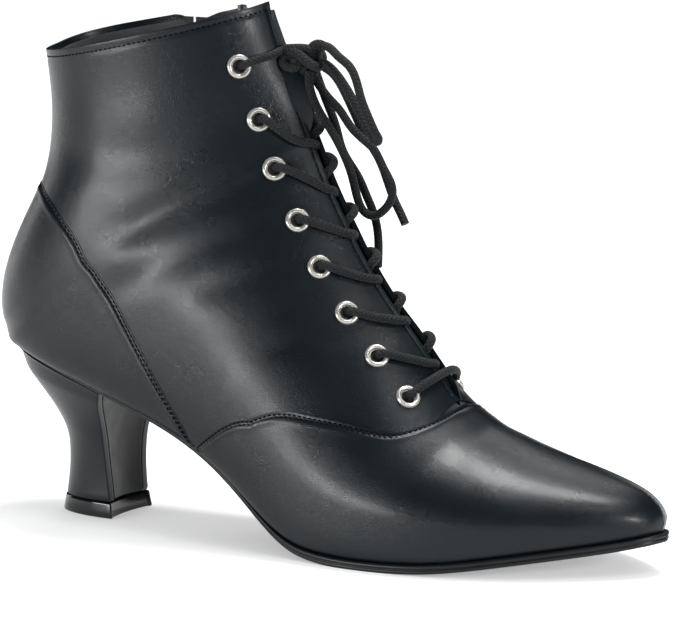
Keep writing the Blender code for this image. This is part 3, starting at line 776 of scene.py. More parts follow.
@dataclass(frozen=True)
class RubberFinish(Finish):
    """Moulded rubber or burnished sole edge.

    Attributes:
        roughness: Roughness, low and high.
        grit: Depth of the surface texture, in metres.
        gloss: Specular level.
    """

    roughness: tuple[float, float]
    grit: float
    gloss: float

    def make(self) -> bpy.types.Material:
        """Builds the material."""
        made = Shader(self.name, self.colour, self.roughness[0])
        made.value("Specular IOR Level", self.gloss)
        made.hazed(160.0, 4.0, self.roughness)
        made.relief(made.noise(900.0, 3.0), self.grit)
        return made.material


@dataclass(frozen=True)
class ClothFinish(Finish):
    """Woven tape or a felted lining.

    Attributes:
        weave: Threads to the metre.
        sheen: Weight of the fuzz.
        gloss: Specular level.
    """

    weave: float
    sheen: float = 0.2
    gloss: float = 0.3

    def make(self) -> bpy.types.Material:
        """Builds the material."""
        made = Shader(self.name, self.colour, 0.85)
        made.value("Sheen Weight", self.sheen)
        made.value("Specular IOR Level", self.gloss)
        made.mottled(made.ranged(made.noise(60.0, 3.0), 0.0, 1.0), self.colour, 1.6)
        made.relief(made.noise(self.weave, 2.0), 0.00012)
        return made.material


@dataclass
class Finishes:
    """Every material of the boot, built once."""

    leather: bpy.types.Material = field(init=False)
    heel_cover: bpy.types.Material = field(init=False)
    lining: bpy.types.Material = field(init=False)
    sole: bpy.types.Material = field(init=False)
    rubber: bpy.types.Material = field(init=False)
    nickel: bpy.types.Material = field(init=False)
    dark_nickel: bpy.types.Material = field(init=False)
    cord: bpy.types.Material = field(init=False)
    thread: bpy.types.Material = field(init=False)
    tape: bpy.types.Material = field(init=False)

    def __post_init__(self) -> None:
        """Makes the materials."""
        black = (0.0028, 0.0044, 0.0056)
        self.leather = LeatherFinish("black_leather", black, (0.25, 0.34), 0.00002, 0.04).make()
        self.heel_cover = LeatherFinish("heel_cover", black, (0.28, 0.36), 0.000015, 0.06).make()
        self.lining = ClothFinish("lining", (0.020, 0.021, 0.023), 1800.0).make()
        self.sole = RubberFinish("sole_edge", (0.0045, 0.0055, 0.0062), (0.34, 0.46), 0.00003, 0.2).make()
        self.rubber = RubberFinish("rubber", (0.003, 0.0035, 0.004), (0.1, 0.16), 0.00001, 0.35).make()
        self.nickel = MetalFinish("nickel", (0.40, 0.385, 0.36), (0.2, 0.32), 0.7).make()
        self.dark_nickel = MetalFinish("dark_nickel", (0.20, 0.20, 0.21), (0.25, 0.38), 0.8).make()
        self.cord = CordFinish("lace_cord", (0.0020, 0.0026, 0.0030), 1.5, 6, math.tau * 1.5).make()
        self.thread = ClothFinish("thread", (0.0012, 0.0012, 0.0015), 4000.0, 0.0, 0.04).make()
        self.tape = ClothFinish("zip_tape", (0.010, 0.010, 0.011), 2600.0).make()


@dataclass
class Upper:
    """The leather upper: quarters, vamp and counter, with their lining and stitches.

    Attributes:
        form: The boot's form.
        finishes: The materials.
        step: How far the quarters lie below the vamp and counter.
        wall: Depth of the lining below the outer form.
        slit_half: Half width of the throat on each side.
        throat_from: The section where the throat starts.
        facing_gap: Distance of the facing's stitches from its edge.
        rim_gap: Distance of the collar's stitches from its rim.
        lift: How far the lace pulls the inner facing's edge up.
        lift_width: Width of the lifted edge.
        sink: How far the counter's edge is skived down.
        punch: Radius of the eyelet holes.
        collar: The section of the collar's rim.
        vamp_seam: Stops of the vamp's edge on the outer side, from the sole to the ridge.
        counter_seam: Stops of the counter's edge, from the sole to the back seam.
        quarter_reach: How far back each section of the quarter reaches.
        eyelets: Section and share of each pair of eyelets.
    """

    form: BootForm
    finishes: Finishes
    step: float = 0.6
    wall: float = 2.4
    slit_half: dict[Side, float] = field(default_factory=lambda: {Side.OUTER: 1.4, Side.INNER: 1.8})
    throat_from: float = 6.55
    facing_gap: float = 1.8
    rim_gap: float = 2.4
    lift: float = 1.1
    lift_width: float = 6.0
    sink: float = 0.42
    punch: float = 2.85
    collar: float = 26.0
    vamp_seam: tuple = (
        (12.36, 1.0), (12.25, 0.85), (12.0, 0.68), (11.6, 0.545), (11.0, 0.455), (10.2, 0.4), (9.0, 0.348),
        (8.0, 0.308), (7.34, 0.27), (6.75, 0.2), (6.42, 0.125), (6.33, 0.055), (6.31, 0.0),
    )
    counter_seam: tuple = (
        (12.25, 1.0), (12.32, 0.9), (12.48, 0.838), (12.9, 0.776), (13.35, 0.725), (13.85, 0.68),
        (14.45, 0.637), (15.1, 0.6), (15.85, 0.566), (16.6, 0.54), (17.6, 0.521), (19.0, 0.512),
        (20.1, 0.538), (21.25, 0.596), (22.0, 0.66), (22.55, 0.73), (22.9, 0.81), (23.08, 0.9), (23.12, 1.0),
    )
    quarter_reach: tuple = (
        (6.0, 0.16), (6.42, 0.16), (6.75, 0.245), (7.34, 0.32), (8.0, 0.355), (9.0, 0.395), (10.2, 0.445),
        (11.0, 0.50), (11.6, 0.60), (12.0, 0.74), (12.25, 0.9), (12.36, 0.97), (12.6, 0.93), (13.0, 0.84),
        (14.0, 0.74), (15.7, 0.64), (17.2, 0.60), (18.7, 0.59), (20.0, 0.615), (21.2, 0.665), (22.2, 0.8),
        (22.55, 0.88), (22.8, 0.98), (22.85, 1.0), (26.0, 1.0),
    )
    eyelets: tuple = (
        (23.47, 0.192), (20.71, 0.171), (17.17, 0.177), (14.31, 0.188),
        (12.54, 0.197), (10.92, 0.195), (9.28, 0.195), (7.82, 0.195),
    )

    def slit_share(self, t: np.ndarray, side: Side) -> np.ndarray:
        """How far from the ridge the facing's edge lies."""
        row = self.form.row(t)
        half = self.slit_half[side] * np.clip((t - self.throat_from) / 0.5, 0.0, 1.0) ** 0.5
        wide = row[..., Column.OUTER_WIDE if side is Side.OUTER else Column.INNER_WIDE]
        reach = np.abs(wide - self.form.ridge(row[..., Column.TOP_X]))
        return np.arcsin((half / reach) ** (1 / row[..., Column.CROWN_POWER])) / math.pi

    @staticmethod
    def spread(near: float, count: int) -> np.ndarray:
        """Shares from 0 to 1, closer together near 0."""
        even = np.linspace(0.0, 1.0, count)
        return even * near + even**2 * (1 - near)

    def quarter(self, side: Side) -> bpy.types.Object:
        """One quarter with its facing, a solid from the throat to under the counter.

        Args:
            side: Which side of the boot.

        Returns:
            The finished piece.
        """
        turn = self.form.seat_end
        lower = np.linspace(self.throat_from, turn, 120, endpoint=False)
        t = np.concatenate((lower, np.linspace(turn, self.collar, 90)))[:, None]
        reach = np.interp(t, *np.array(self.quarter_reach).T)
        start = self.slit_share(t, side)
        share = start + (reach - start) * self.spread(0.45, 84)[None, :]
        v = share * side.value
        t = np.broadcast_to(t, v.shape)
        plain = self.form.surface(t, v, self.step)
        edge_mm, rim_mm = travelled(plain, 1), travelled(plain[::-1])[::-1]
        relief = -0.2 * bump(edge_mm, self.facing_gap, 0.6) - 0.22 * bump(rim_mm, self.rim_gap, 0.7)
        if side is Side.INNER:
            relief += self.lifted(edge_mm) * smooth((t - self.throat_from) / 0.8)
        work = mapped_grid(self.form.leather(t, v, self.step, relief))
        thickened(work, self.wall - self.step - 0.1, 0.42, Vector((0, side.value, 0)))
        name = f"quarter_{side.name.lower()}"
        return finished(name, work, self.finishes.leather)

    def lifted(self, edge_mm: np.ndarray) -> np.ndarray:
        """How far the inner facing stands up at a distance from its edge."""
        return self.lift * (1 - smooth(edge_mm / self.lift_width))

    def counter_line(self, side: Side) -> SeamLine:
        """The counter's edge on one side, from the featherline to the back seam."""
        line = curved_line(self.counter_seam, 240)
        return SeamLine(line.t, line.v * side.value).evenly(self.form, 1.0).eased(40)

    def whole_vamp_seam(self) -> SeamLine:
        """The vamp's edge from the outer featherline over the ridge to the inner one."""
        outer = [(t, -v) for t, v in self.vamp_seam]
        inner = list(self.vamp_seam[::-1][1:])
        return curved_line(outer + inner, 400)

    @staticmethod
    def seam_profile(distance: np.ndarray, sink: float) -> np.ndarray:
        """Height of an overlaid edge: a fold, a stitch channel and a soft swell.

        Args:
            distance: Millimetres from the edge.
            sink: How far the edge is skived down toward the leather under it.

        Returns:
            One height for each distance.
        """
        fold = 0.16 * bump(distance, 0.35, 0.4) - sink * (1 - smooth(distance / 2.6))
        return fold - 0.3 * bump(distance, 1.35, 0.8) + 0.14 * bump(distance, 3.1, 0.9)

    def overlay(self, seam: SeamLine, ends: SeamLine, count: int, sink: float = 0.0) -> np.ndarray:
        """Points of a panel that runs from its stitched edge to a far line.

        Args:
            seam: The panel's stitched edge.
            ends: The far line, point for point with the edge.
            count: Columns across the panel.
            sink: How far the stitched edge is skived down.

        Returns:
            Rows along the seam and columns across, in boot millimetres.
        """
        first = self.form.surface(seam.t, seam.v)
        last = self.form.surface(ends.t, ends.v)
        reach = np.maximum(np.linalg.norm(last - first, axis=1), 0.5)[:, None]
        near = np.array((0.0, 0.3, 0.6, 0.9, 1.25, 1.6, 2.0, 2.4, 2.8, 3.3, 3.9, 4.6, 5.4, 6.4))
        share = np.minimum(near / reach, near / near[-1] * 0.6)
        rest = np.linspace(0.0, 1.0, count)[1:]
        share = np.concatenate((share, share[:, -1:] + (1 - share[:, -1:]) * rest), axis=1)
        t = seam.t[:, None] + (ends.t - seam.t)[:, None] * share
        v = seam.v[:, None] + (ends.v - seam.v)[:, None] * share
        distance = travelled(self.form.surface(t, v), 1)
        fade = smooth((distance[:, -1:] - distance) / 3.0)
        return self.form.leather(t, v, 0.0, self.seam_profile(distance, sink) * fade)

    def vamp(self) -> bpy.types.Object:
        """The vamp, from its seam over the toe to the featherline."""
        seam = self.whole_vamp_seam().evenly(self.form, 1.3)
        place = np.linspace(-1.0, 1.0, len(seam.t))
        gone = np.abs(place) ** 0.62
        turn_in = 0.14
        last = self.vamp_seam[0][0]
        t = np.where(gone < turn_in, 0.0, last * ((gone - turn_in) / (1 - turn_in)) ** 1.15)
        v = np.sign(place) * np.minimum(gone / turn_in, 1.0)
        work = mapped_grid(self.overlay(seam, SeamLine(t, v), 70))
        thickened(work, 0.55, 0.25, Vector((0, 0, 1)))
        return finished("vamp", work, self.finishes.leather)

    def counter(self) -> bpy.types.Object:
        """The counter round the heel, from its seams to the featherline and back seam."""
        works = []
        for side in Side:
            seam = self.counter_line(side).evenly(self.form, 1.3)
            t = np.linspace(self.counter_seam[0][0], self.counter_seam[-1][0], len(seam.t))
            ends = SeamLine(t, np.full_like(t, float(side.value)))
            works.append(mapped_grid(self.overlay(seam, ends, 44, self.sink)))
        work = merged(works)
        thickened(work, 0.55, 0.25, Vector((-1, 0, 0)))
        return finished("counter", work, self.finishes.leather)

    def lining(self) -> bpy.types.Object:
        """The lining, from under the toe to just below the collar."""
        works = []
        for side in Side:
            t = np.linspace(1.6, self.collar - 0.12, 130)[:, None]
            start = self.slit_share(t, side) + 0.012 * (t > self.throat_from)
            v = (start + (1 - start) * np.linspace(0.0, 1.0, 44)[None, :]) * side.value
            t = np.broadcast_to(t, v.shape)
            works.append(mapped_grid(self.form.leather(t, v, self.wall + 0.02)))
        work = merged(works)
        thickened(work, 0.35, 0.0, Vector((0, 0, 1)))
        return finished("lining", work, self.finishes.lining)

    def eyelet_matrix(self, number: int, side: Side) -> Matrix:
        """Stands a turned shape on the quarter at an eyelet, its axis outward."""
        t, share = self.eyelets[number]
        v = share * side.value
        out = Vector(self.form.normal(t, v, self.step))
        made = out.to_track_quat("Z", "Y").to_matrix().to_4x4()
        made.translation = Vector(placed(self.form.leather(np.float64(t), np.float64(v), self.step)))
        return made

    def punch_eyelets(self, piece: bpy.types.Object, side: Side) -> None:
        """Punches the eight eyelet holes through a quarter."""
        work = bmesh.new()
        for number in range(len(self.eyelets)):
            bmesh.ops.create_cone(
                work, cap_ends=True, segments=24, radius1=self.punch * MM, radius2=self.punch * MM,
                depth=10 * MM, matrix=self.eyelet_matrix(number, side),
            )
        cut_through(piece, work)

    def stitch_rows(self) -> list[tuple[SeamLine, float]]:
        """Every row of stitches, as its line and the depth of the leather under it."""
        rows = []
        vamp = self.whole_vamp_seam().evenly(self.form, 2.2).part(0.02, 0.98)
        rows += [(self.form.beside(vamp, -gap), 0.0) for gap in (0.95, 2.0)]
        for side in Side:
            sign = side.value
            counter = self.counter_line(side).evenly(self.form, 2.2).part(0.03, 0.965)
            rows += [(self.form.beside(counter, -gap * sign), 0.12) for gap in (0.75, 1.85)]
            t = np.linspace(self.throat_from + 0.5, self.collar - 0.35, 200)
            facing = SeamLine(t, self.slit_share(t, side) * sign).evenly(self.form, 2.2)
            raised = float(self.lifted(np.float64(self.facing_gap))) if side is Side.INNER else 0.0
            rows.append((self.form.beside(facing, -self.facing_gap * sign, self.step), self.step - raised))
            share = np.linspace(0.06, 0.995, 200)
            rim = SeamLine(np.full_like(share, self.collar), share * sign).evenly(self.form, 2.2)
            rows.append((self.form.beside(rim, -self.rim_gap * sign, self.step), self.step))
        return rows

    def stitches(self) -> bpy.types.Object:
        """All the stitches of the upper, each a small sunk bead of thread."""
        work = bmesh.new()
        bead = bmesh.new()
        bmesh.ops.create_uvsphere(bead, u_segments=8, v_segments=5, radius=1.0)
        template = bpy.data.meshes.new("bead")
        bead.to_mesh(template)
        bead.free()
        for line, depth in self.stitch_rows():
            line = line.evenly(self.form, 1.9, depth)
            points = self.form.leather(line.t, line.v, depth, -0.18)
            ahead = np.gradient(points, axis=0)
            out = self.form.normal(line.t, line.v, depth)
            for point, run, up in zip(placed(points), ahead, out):
                run, up = Vector(run).normalized(), Vector(up)
                side = up.cross(run).normalized()
                frame = Matrix((run * 0.72, side * 0.34, side.cross(run) * -0.2)).transposed() * MM
                whole = frame.to_4x4()
                whole.translation = Vector(point)
                copy = template.copy()
                copy.transform(whole)
                work.from_mesh(copy)
                bpy.data.meshes.remove(copy)
        bpy.data.meshes.remove(template)
        bmesh.ops.recalc_face_normals(work, faces=work.faces)
        return finished("upper_stitches", work, self.finishes.thread)

    def build(self, zip_slot: Callable[[], bmesh.types.BMesh]) -> None:
        """Builds and dresses the whole upper.

        Args:
            zip_slot: Makes the closed shape that opens the inner quarter for the zip.
        """
        for side in Side:
            piece = self.quarter(side)
            self.punch_eyelets(piece, side)
            if side is Side.INNER:
                cut_through(piece, zip_slot())
            worn(piece)
        worn(self.vamp(), ["upper"])
        worn(self.counter())
        lining = self.lining()
        cut_through(lining, zip_slot())
        worn(lining)
        worn(self.stitches())


@dataclass
class Eyelets:
    """The sixteen turned nickel eyelets.

    Attributes:
        upper: The upper that they are set in.
        finish: Their metal.
        rim: Outer radius.
        hole: Radius of the hole.
        rise: Height above the leather.
        rest: Height of the rolled ring's foot.
        barrel: Outer radius of the tail that goes through the leather.
        depth: How far the tail goes in.
    """

    upper: Upper
    finish: bpy.types.Material
    rim: float = 4.2
    hole: float = 2.4
    rise: float = 1.25
    rest: float = 0.12
    barrel: float = 2.7
    depth: float = 1.5

    def profile(self) -> list[tuple[float, float]]:
        """Closed profile of (radius, height) of the rolled ring."""
        hole, foot, high = self.hole, 0.1, self.rise - self.rest
        middle, half = (self.rim + hole + 0.15) / 2, (self.rim - hole - 0.15) / 2
        arc = np.linspace(math.pi, 0, 11)
        rolled = [(middle + half * math.cos(a), self.rest + high * math.sin(a) ** 0.8) for a in arc]
        tail = [(self.barrel, foot), (self.barrel, -self.depth)]
        return [(hole, -self.depth), (hole, foot)] + rolled + tail

    def turned(self) -> bmesh.types.BMesh:
        """One eyelet about Z, at the origin."""
        work = bmesh.new()
        ring = [work.verts.new((r * MM, 0.0, z * MM)) for r, z in self.profile()]
        edges = [work.edges.new(pair) for pair in zip(ring, ring[1:] + ring[:1])]
        bmesh.ops.spin(
            work, geom=ring + edges, cent=(0, 0, 0), axis=(0, 0, 1), steps=40, angle=math.tau, use_merge=True,
        )
        bmesh.ops.remove_doubles(work, verts=work.verts, dist=WELD)
        bmesh.ops.recalc_face_normals(work, faces=work.faces)
        return work

    def build(self) -> None:
        """Sets one eyelet in each hole."""
        for side in Side:
            for number in range(len(self.upper.eyelets)):
                work = self.turned()
                bmesh.ops.transform(work, matrix=self.upper.eyelet_matrix(number, side), verts=work.verts)
                name = f"{side.name.lower()}_{number + 1}"
                piece = finished(f"nickel_{name}", work, self.finish, 60.0)
                worn(piece, [f"eyelet_{name}"])


@dataclass
class Sole:
    """The outsole with its rolled edge, and the sock inside.

    Attributes:
        form: The boot's form.
        finishes: The materials.
        gap: Air between the upper and the sole.
        welt: How far the sole's edge stands out at the toe.
        rows: Section, thickness and share of the welt.
        profile: The edge as (millimetres outward, share downward).
        sock_sides: Heights of the sock's side, from the sole up.
    """

    form: BootForm
    finishes: Finishes
    gap: float = 0.3
    welt: float = 1.7
    rows: tuple = (
        (0.0, 3.2, 1.0), (7.0, 3.2, 1.0), (8.0, 3.3, 1.0), (9.0, 3.1, 0.8), (10.0, 2.5, 0.5),
        (11.0, 2.0, 0.3), (12.0, 1.6, 0.1), (14.0, 1.3, 0.0), (16.0, 0.9, -0.5), (19.0, 0.9, -0.5),
    )
    profile: tuple = (
        (-2.4, 0.0), (-0.6, 0.0), (-0.2, 0.05), (-0.03, 0.14), (0.03, 0.25), (-0.02, 0.36), (-0.2, 0.45),
        (-0.36, 0.49), (-0.34, 0.54), (-0.16, 0.6), (-0.12, 0.72), (-0.2, 0.85), (-0.45, 0.96), (-0.9, 1.0),
        (-2.4, 1.0),
    )
    sock_sides: tuple = (0.35, 1.4, 2.4, 3.2)

    def along(self, t: np.ndarray, column: int) -> np.ndarray:
        """A column of the rows at t."""
        table = np.array(self.rows)
        return np.interp(t, table[:, 0], table[:, column])

    def outline(self, t: np.ndarray, side: Side, margin: np.ndarray) -> np.ndarray:
        """The featherline moved outward in plan by a margin."""
        last = self.form.seat_end - 0.001
        before, here, after = (self.form.row(np.clip(t + d, 0.0, last)) for d in (-0.04, 0.0, 0.04))
        plan = [Column.BASE_X, Column.OUTER_FEATHER if side is Side.OUTER else Column.INNER_FEATHER]
        run = unit(after[..., plan] - before[..., plan])
        out = np.stack((-run[..., 1], run[..., 0]), axis=-1) * -side.value
        moved = here[..., plan] + out * margin[..., None]
        return np.concatenate((moved, here[..., [Column.BASE_Z]]), axis=-1)

    def outsole(self) -> bpy.types.Object:
        """The sole as one loft from the toe to under the heel seat."""
        t = np.concatenate((np.linspace(0.0, 1.5, 14) ** 1.4, np.linspace(1.95, 18.9, 120)))
        edge = np.array(self.profile)
        thick = self.along(t, 1)[:, None]
        margin = self.welt * self.along(t, 2)[:, None] + edge[None, :, 0] * np.minimum(1.0, thick / 3.2)
        halves = []
        for side in Side:
            points = self.outline(np.broadcast_to(t[:, None], margin.shape), side, margin)
            points[..., 2] = np.maximum(points[..., 2] - self.gap - thick * edge[None, :, 1], 0.0)
            halves.append(points if side is Side.INNER else points[:, ::-1])
        return finished("leather_outsole", lofted(np.concatenate(halves, axis=1)), self.finishes.sole, 40.0)

    def sock(self) -> bpy.types.Object:
        """The sock that covers the insole, wider toward its top to meet the lining."""
        t = np.linspace(1.9, 18.5, 110)
        row = self.form.row(t)
        up = unit(row[:, : Column.BASE_X] - row[:, Column.BASE_X : Column.OUTER_FEATHER])
        rings = []
        for side in Side:
            for height in self.sock_sides[:: -side.value]:
                inward = -0.45 - 0.9 * max(0.0, min(height, 2.5) - self.sock_sides[1])
                point = self.outline(t, side, np.full_like(t, inward))
                point[:, [0, 2]] += up * height
                rings.append(point)
        return finished("sock", lofted(np.stack(rings, axis=1)), self.finishes.lining, 40.0)

    def build(self) -> None:
        """Builds the sole and the sock."""
        worn(self.outsole(), ["outsole"])
        worn(self.sock(), ["insole"])


@dataclass
class Heel:
    """The flared covered heel with its breast flap and rubber top piece.

    Attributes:
        sole: The sole that it stands under.
        finishes: The materials.
        rows: back_z front_z back_x front_x half power, from the floor up to the seat.
        lift: Height of the top piece.
        hollow: How far the breast is hollowed.
        lip: Width of the cover's lip on the breast.
        corner: Radius of the corner between side and breast.
        curl: Radius of the flap's turn into the sole.
    """

    sole: Sole
    finishes: Finishes
    rows: SplineTable = SplineTable((
        (0.0, 0.0, 21.0, 47.8, 13.6, 2.2), (6.0, 6.0, 22.4, 46.6, 13.0, 2.2),
        (14.0, 14.0, 23.8, 45.8, 13.2, 2.2), (21.0, 21.0, 24.4, 45.4, 13.9, 2.2),
        (28.0, 27.0, 24.0, 45.4, 14.9, 2.2), (34.5, 32.0, 21.6, 45.7, 16.4, 2.25),
        (41.5, 36.5, 17.0, 46.3, 18.6, 2.3), (48.5, 41.0, 11.8, 47.4, 21.4, 2.4),
        (54.5, 44.8, 7.9, 49.0, 23.9, 2.5), (59.5, 48.0, 5.6, 50.5, 25.2, 2.6),
    ))
    lift: float = 5.7
    hollow: float = 1.4
    lip: float = 3.2
    corner: float = 0.35
    curl: float = 7.0

    def seat_height(self, x: np.ndarray) -> np.ndarray:
        """Height of the underside of the sole over the heel."""
        stops = np.linspace(18.9, 12.0, 50)
        row = self.sole.form.row(stops)
        under = row[:, Column.BASE_Z] - 2 * self.sole.gap - self.sole.along(stops, 1)
        return np.interp(x, row[:, Column.BASE_X], under)

    def height(self, u: float, row: np.ndarray, x: np.ndarray) -> np.ndarray:
        """Height of the points of a ring, which ends at the seat."""
        slope = (row[1] - row[0]) / (row[3] - row[2])
        plain = row[0] + slope * (x - row[2])
        share = float(smooth(np.float64((u - 7.6) / 1.4)))
        return plain * (1 - share) + self.seat_height(x) * share

    def half_ring(self, row: np.ndarray, lip: float, grow: float = 0.0) -> np.ndarray:
        """Plan of half a ring: the back, the side, the rounded corner, the lip and the breast.

        Args:
            row: The row of the heel's table.
            lip: Width of the lip, or 0 for none.
            grow: How far the ring stands outside the row's.

        Returns:
            Points as (x, y), from the middle of the back to the middle of the breast.
        """
        back_x, front_x, half, power = row[2] - grow, row[3] + grow, row[4] + grow, row[5]
        long, corner, edge = front_x - back_x, self.corner, half - max(lip, 0.6)
        around, past = np.linspace(0.0, math.pi / 2, 30), np.linspace(0.3, math.pi / 2, 4)
        side = [
            (front_x - long * math.cos(a) ** (2 / power), half * math.sin(a) ** (2 / power)) for a in around
        ]
        rounded = [(front_x + corner * math.sin(a), half - corner * (1 - math.cos(a))) for a in past]
        over = [(front_x + corner, half - corner - (half - corner - edge) * s) for s in (0.3, 0.6, 0.9)]
        step = [(front_x + 0.3, edge), (front_x + 0.1, edge - 0.2)] if lip > 0 else [(front_x + corner, edge)]
        breast = [
            (front_x - self.hollow * (1 - s**2) - 0.15, edge * s) for s in np.linspace(0.96, 0.0, 12)
        ]
        return np.array(side + rounded + over + step + breast)

    def ring(self, plan: np.ndarray, z: Callable[[np.ndarray], np.ndarray]) -> np.ndarray:
        """A whole ring from half a plan and the height of its points."""
        whole = np.concatenate((plan, plan[-2:0:-1] * (1, -1)))
        return np.column_stack((whole, z(whole[:, 0])))

    def block(self) -> bpy.types.Object:
        """The covered heel from the top piece to the seat."""
        rings = []
        for u in np.concatenate((np.linspace(1.0, 1.12, 3), np.linspace(1.3, 9.0, 60))):
            row = self.rows.at(np.float64(u))
            tuck = -0.35 * float(smooth(np.float64((1.12 - u) / 0.12)))
            plan = self.half_ring(row, self.lip, tuck)
            rings.append(self.ring(plan, lambda x, u=u, row=row: self.height(float(u), row, x)))
        rings = np.array(rings)
        rings[..., 2] = np.maximum(rings[..., 2], self.lift + 0.3)
        return finished("covered_heel", lofted(rings), self.finishes.heel_cover, 38.0)

    def top_piece(self) -> bpy.types.Object:
        """The rubber top piece, slightly wider than the cover and flared to the floor."""
        levels = (
            (0.0, -0.5), (0.12, -0.15), (0.45, 0.0), (2.5, 0.0), (4.9, 0.05), (5.45, 0.0), (self.lift, -0.25),
        )
        rings = []
        for z, grow in levels:
            row = self.rows.at(np.float64(z / 6.0))
            plan = self.half_ring(row, 0.0, grow + 0.12 * min(1.0, z / 4.0))
            rings.append(self.ring(plan, lambda x, z=z: np.full_like(x, z)))
        return finished("rubber_top_piece", lofted(np.array(rings)), self.finishes.rubber, 45.0)

    def breast_flap(self) -> bpy.types.Object:
        """The end of the sole cover, which runs down the breast between the lips."""
        rows = []
        for s in np.concatenate((np.linspace(0.0, 1.0, 40), 1 + np.linspace(0.0, 1.0, 16)[1:])):
            u = 1.06 + 6.55 * min(s, 1.0)
            row = self.rows.at(np.float64(u))
            across = np.linspace(-1.0, 1.0, 25)
            turn = max(0.0, s - 1.0) * math.pi / 2
            edge = row[4] - self.lip - 0.45
            x = row[3] - self.hollow * (1 - across**2) + 0.35 + self.curl * (1 - math.cos(turn))
            y = edge * across * (1 + 0.02 * max(0.0, s - 1.0))
            z = self.height(u, row, np.full_like(across, row[3])) + self.curl * math.sin(turn)
            rows.append(np.stack((x, y, z), axis=-1))
        points = np.array(rows)
        roof = self.seat_height(points[..., 0]) + 0.4
        points[..., 2] = np.minimum(points[..., 2], roof)
        work = mapped_grid(points)
        thickened(work, 0.5, 0.2, Vector((1, 0, 0)))
        return finished("breast_flap", work, self.finishes.sole)

    def build(self) -> None:
        """Builds the heel."""
        worn(self.block(), ["heel_block"])
        worn(self.top_piece(), ["top_piece"])
        worn(self.breast_flap())


@dataclass
class Tongue:
    """The leather tongue behind the throat.

    Attributes:
        form: The boot's form.
        finish: Its leather.
        rows: Section and half width as a share.
        under: Depth of its face below the outer form.
        thick: Its thickness.
        swell: Section and how far its middle stands forward there.
    """

    form: BootForm
    finish: bpy.types.Material
    under: float = 4.4
    thick: float = 1.5
    swell: tuple = (
        (5.6, 0.0), (18.6, 0.0), (19.5, 4.0), (20.4, 8.5), (22.0, 10.8), (23.0, 9.6), (24.0, 5.4),
        (26.0, 4.8),
    )
    rows: tuple = (
        (5.6, 0.08), (6.1, 0.095), (6.5, 0.11), (6.9, 0.155), (7.4, 0.20), (8.0, 0.23), (8.8, 0.245),
        (23.4, 0.245), (25.0, 0.24), (25.5, 0.22), (25.75, 0.18),
    )

    def build(self) -> None:
        """Builds the tongue."""
        t = np.concatenate((np.linspace(5.6, 25.0, 110), np.linspace(25.1, 25.75, 10)))[:, None]
        half = np.interp(t, *np.array(self.rows).T)
        v = half * np.linspace(-1.0, 1.0, 41)[None, :]
        t = np.broadcast_to(t, v.shape)
        points = self.form.surface(t, v, self.under)
        mirror = self.form.surface(t, -np.abs(v), self.under)
        level = np.minimum(points, mirror)
        level[..., 1] = points[..., 1]
        points = np.where((v > 0)[..., None], level, points)
        ripple = 0.35 * np.sin(t * 2.1) * (1 - (v / half) ** 2)
        middle = relaxed(np.interp(t[:, 0], *np.array(self.swell).T), 12)
        points[..., 0] += ripple + middle[:, None] * np.exp(-((v / 0.075) ** 2))
        work = mapped_grid(points)
        thickened(work, self.thick, 0.4, Vector((1, 0, 0)))
        worn(finished("tongue_leaf", work, self.finish), ["tongue"])


